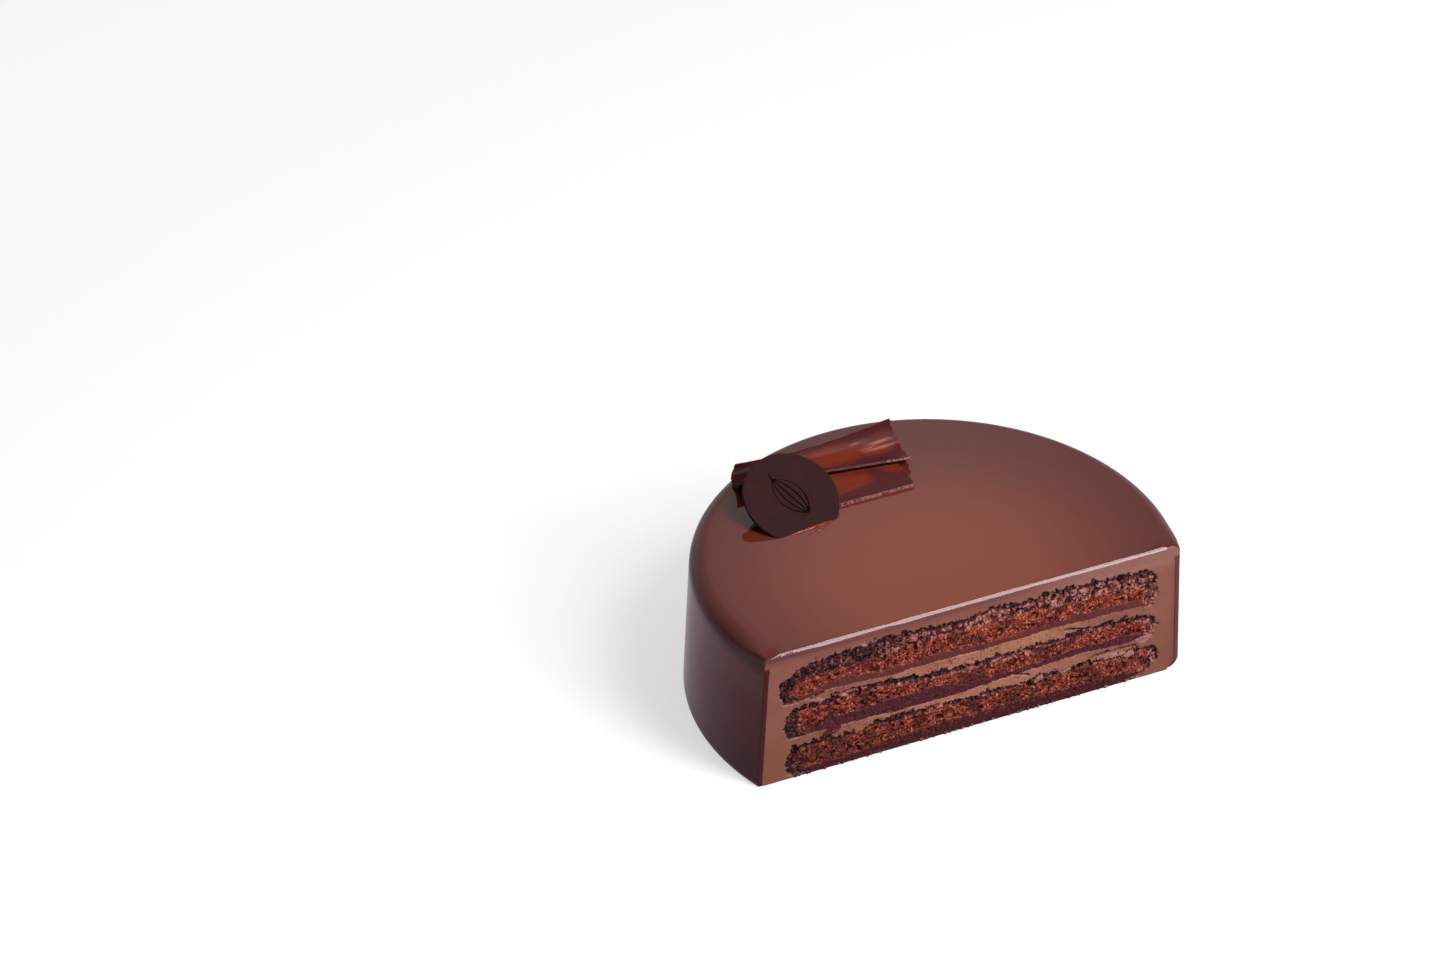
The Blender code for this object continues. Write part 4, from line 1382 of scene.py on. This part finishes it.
def floor_piece(name, paint, glow):
    """A floor that throws no light on the cake. Its glow keeps its shadows soft."""
    made, tree, shader = new_material(name, 0.9, Specular_IOR_Level=0.0, Emission_Strength=1.0)
    shader.inputs["Emission Color"].default_value = (*glow, 1)
    finish_with(tree, shader, mixed(tree, grain(tree, places(tree), 3.0), paint, shade(paint, 0.985)))
    floor = in_scene(name, flat_square(name, 4.0), made)
    floor.visible_diffuse = False
    return floor


def soft_card(strength):
    """A card behind the cake, brightest at its middle, that only the gloss shows."""
    made = bpy.data.materials.new("soft card")
    made.use_nodes = True
    tree = made.node_tree
    tree.nodes.remove(tree.nodes["Principled BSDF"])
    from_middle = add_node(tree, "ShaderNodeVectorMath", {0: places(tree)}, operation="LENGTH")
    fade = ranged(tree, from_middle.outputs["Value"], 0.01, 0.17, strength, 0.0)
    glow = add_node(tree, "ShaderNodeEmission", {"Color": (1, 0.96, 0.95, 1), "Strength": fade})
    clear = tree.nodes.new("ShaderNodeBsdfTransparent")
    both = add_node(tree, "ShaderNodeAddShader", {0: glow.outputs[0], 1: clear.outputs[0]})
    tree.links.new(both.outputs[0], tree.nodes["Material Output"].inputs["Surface"])
    mesh = flat_square("soft card", 0.2)
    mesh.materials.append(made)
    card = bpy.data.objects.new("soft card", mesh)
    aimed(card, *CARD_VIEW)
    card.visible_camera = False
    card.visible_diffuse = False
    card.visible_shadow = False


def room_light(stage):
    """A room that is bright at the back right and dim at the front left."""
    world = bpy.data.worlds.new("room")
    world.use_nodes = True
    tree = world.node_tree
    background = tree.nodes["Background"]
    towards = tree.nodes.new("ShaderNodeTexCoord").outputs["Generated"]
    bright_side = Vector(BRIGHT_SIDE).normalized()
    facing = add_node(tree, "ShaderNodeVectorMath", {0: towards, 1: bright_side}, operation="DOT_PRODUCT")
    strength = ranged(tree, facing.outputs["Value"], -0.6, 0.45, stage.dim, stage.bright)
    tree.links.new(strength, background.inputs["Strength"])
    background.inputs["Color"].default_value = (1, 1, 1, 1)
    return world


class CAKE_OT_stage(Operator):
    """Lays the floor and sets the lights and the camera"""

    bl_idname = "opera_cake.stage"
    bl_label = "Stage"

    def execute(self, context):
        stage = context.scene.cake_stage
        floor = floor_piece("floor", stage.floor, stage.floor_glow)
        floor.visible_glossy = False
        mirrored = floor_piece("floor in the gloss", stage.mirrored, stage.mirrored_glow)
        mirrored.visible_camera = False
        mirrored.location.z = -0.0002
        soft_card(stage.card)
        context.scene.world = room_light(stage)
        soft_light("key", stage.key, 0.36, 1.0, *KEY_VIEW)
        camera = bpy.data.objects.new("camera", bpy.data.cameras.new("camera"))
        camera.data.sensor_width = 36.0
        camera.data.lens = stage.lens
        aimed(camera, *CAMERA_VIEW)
        context.scene.camera = camera
        context.scene.view_settings.view_transform = "Standard"
        return {"FINISHED"}


class CAKE_PT_panel(Panel):
    """Lists the steps that build the cake"""

    bl_idname = "CAKE_PT_panel"
    bl_label = "Opera Cake"
    bl_space_type = "VIEW_3D"
    bl_region_type = "UI"
    bl_category = "Opera Cake"

    def draw(self, context):
        for operator in OPERATORS:
            self.layout.operator(operator.bl_idname)
        for group in (context.scene.cake_sizes, context.scene.cake_colours, context.scene.cake_stage):
            box = self.layout.box()
            for name in group.__annotations__:
                box.prop(group, name)


OPERATORS = (CAKE_OT_glaze, CAKE_OT_layers, CAKE_OT_disc, CAKE_OT_strips, CAKE_OT_stage)
GROUPS = {"cake_sizes": CakeSizes, "cake_colours": CakeColours, "cake_stage": StageSettings}


def register():
    for group in GROUPS.values():
        bpy.utils.register_class(group)
    for name, group in GROUPS.items():
        setattr(bpy.types.Scene, name, PointerProperty(type=group))
    for operator in OPERATORS:
        bpy.utils.register_class(operator)
    bpy.utils.register_class(CAKE_PT_panel)


def unregister():
    bpy.utils.unregister_class(CAKE_PT_panel)
    for operator in reversed(OPERATORS):
        bpy.utils.unregister_class(operator)
    for name in GROUPS:
        delattr(bpy.types.Scene, name)
    for group in reversed(list(GROUPS.values())):
        bpy.utils.unregister_class(group)


def main():
    register()
    bpy.ops.opera_cake.glaze()
    bpy.ops.opera_cake.layers()
    bpy.ops.opera_cake.disc()
    bpy.ops.opera_cake.strips()
    bpy.ops.opera_cake.stage()


if __name__ == "__main__":
    main()
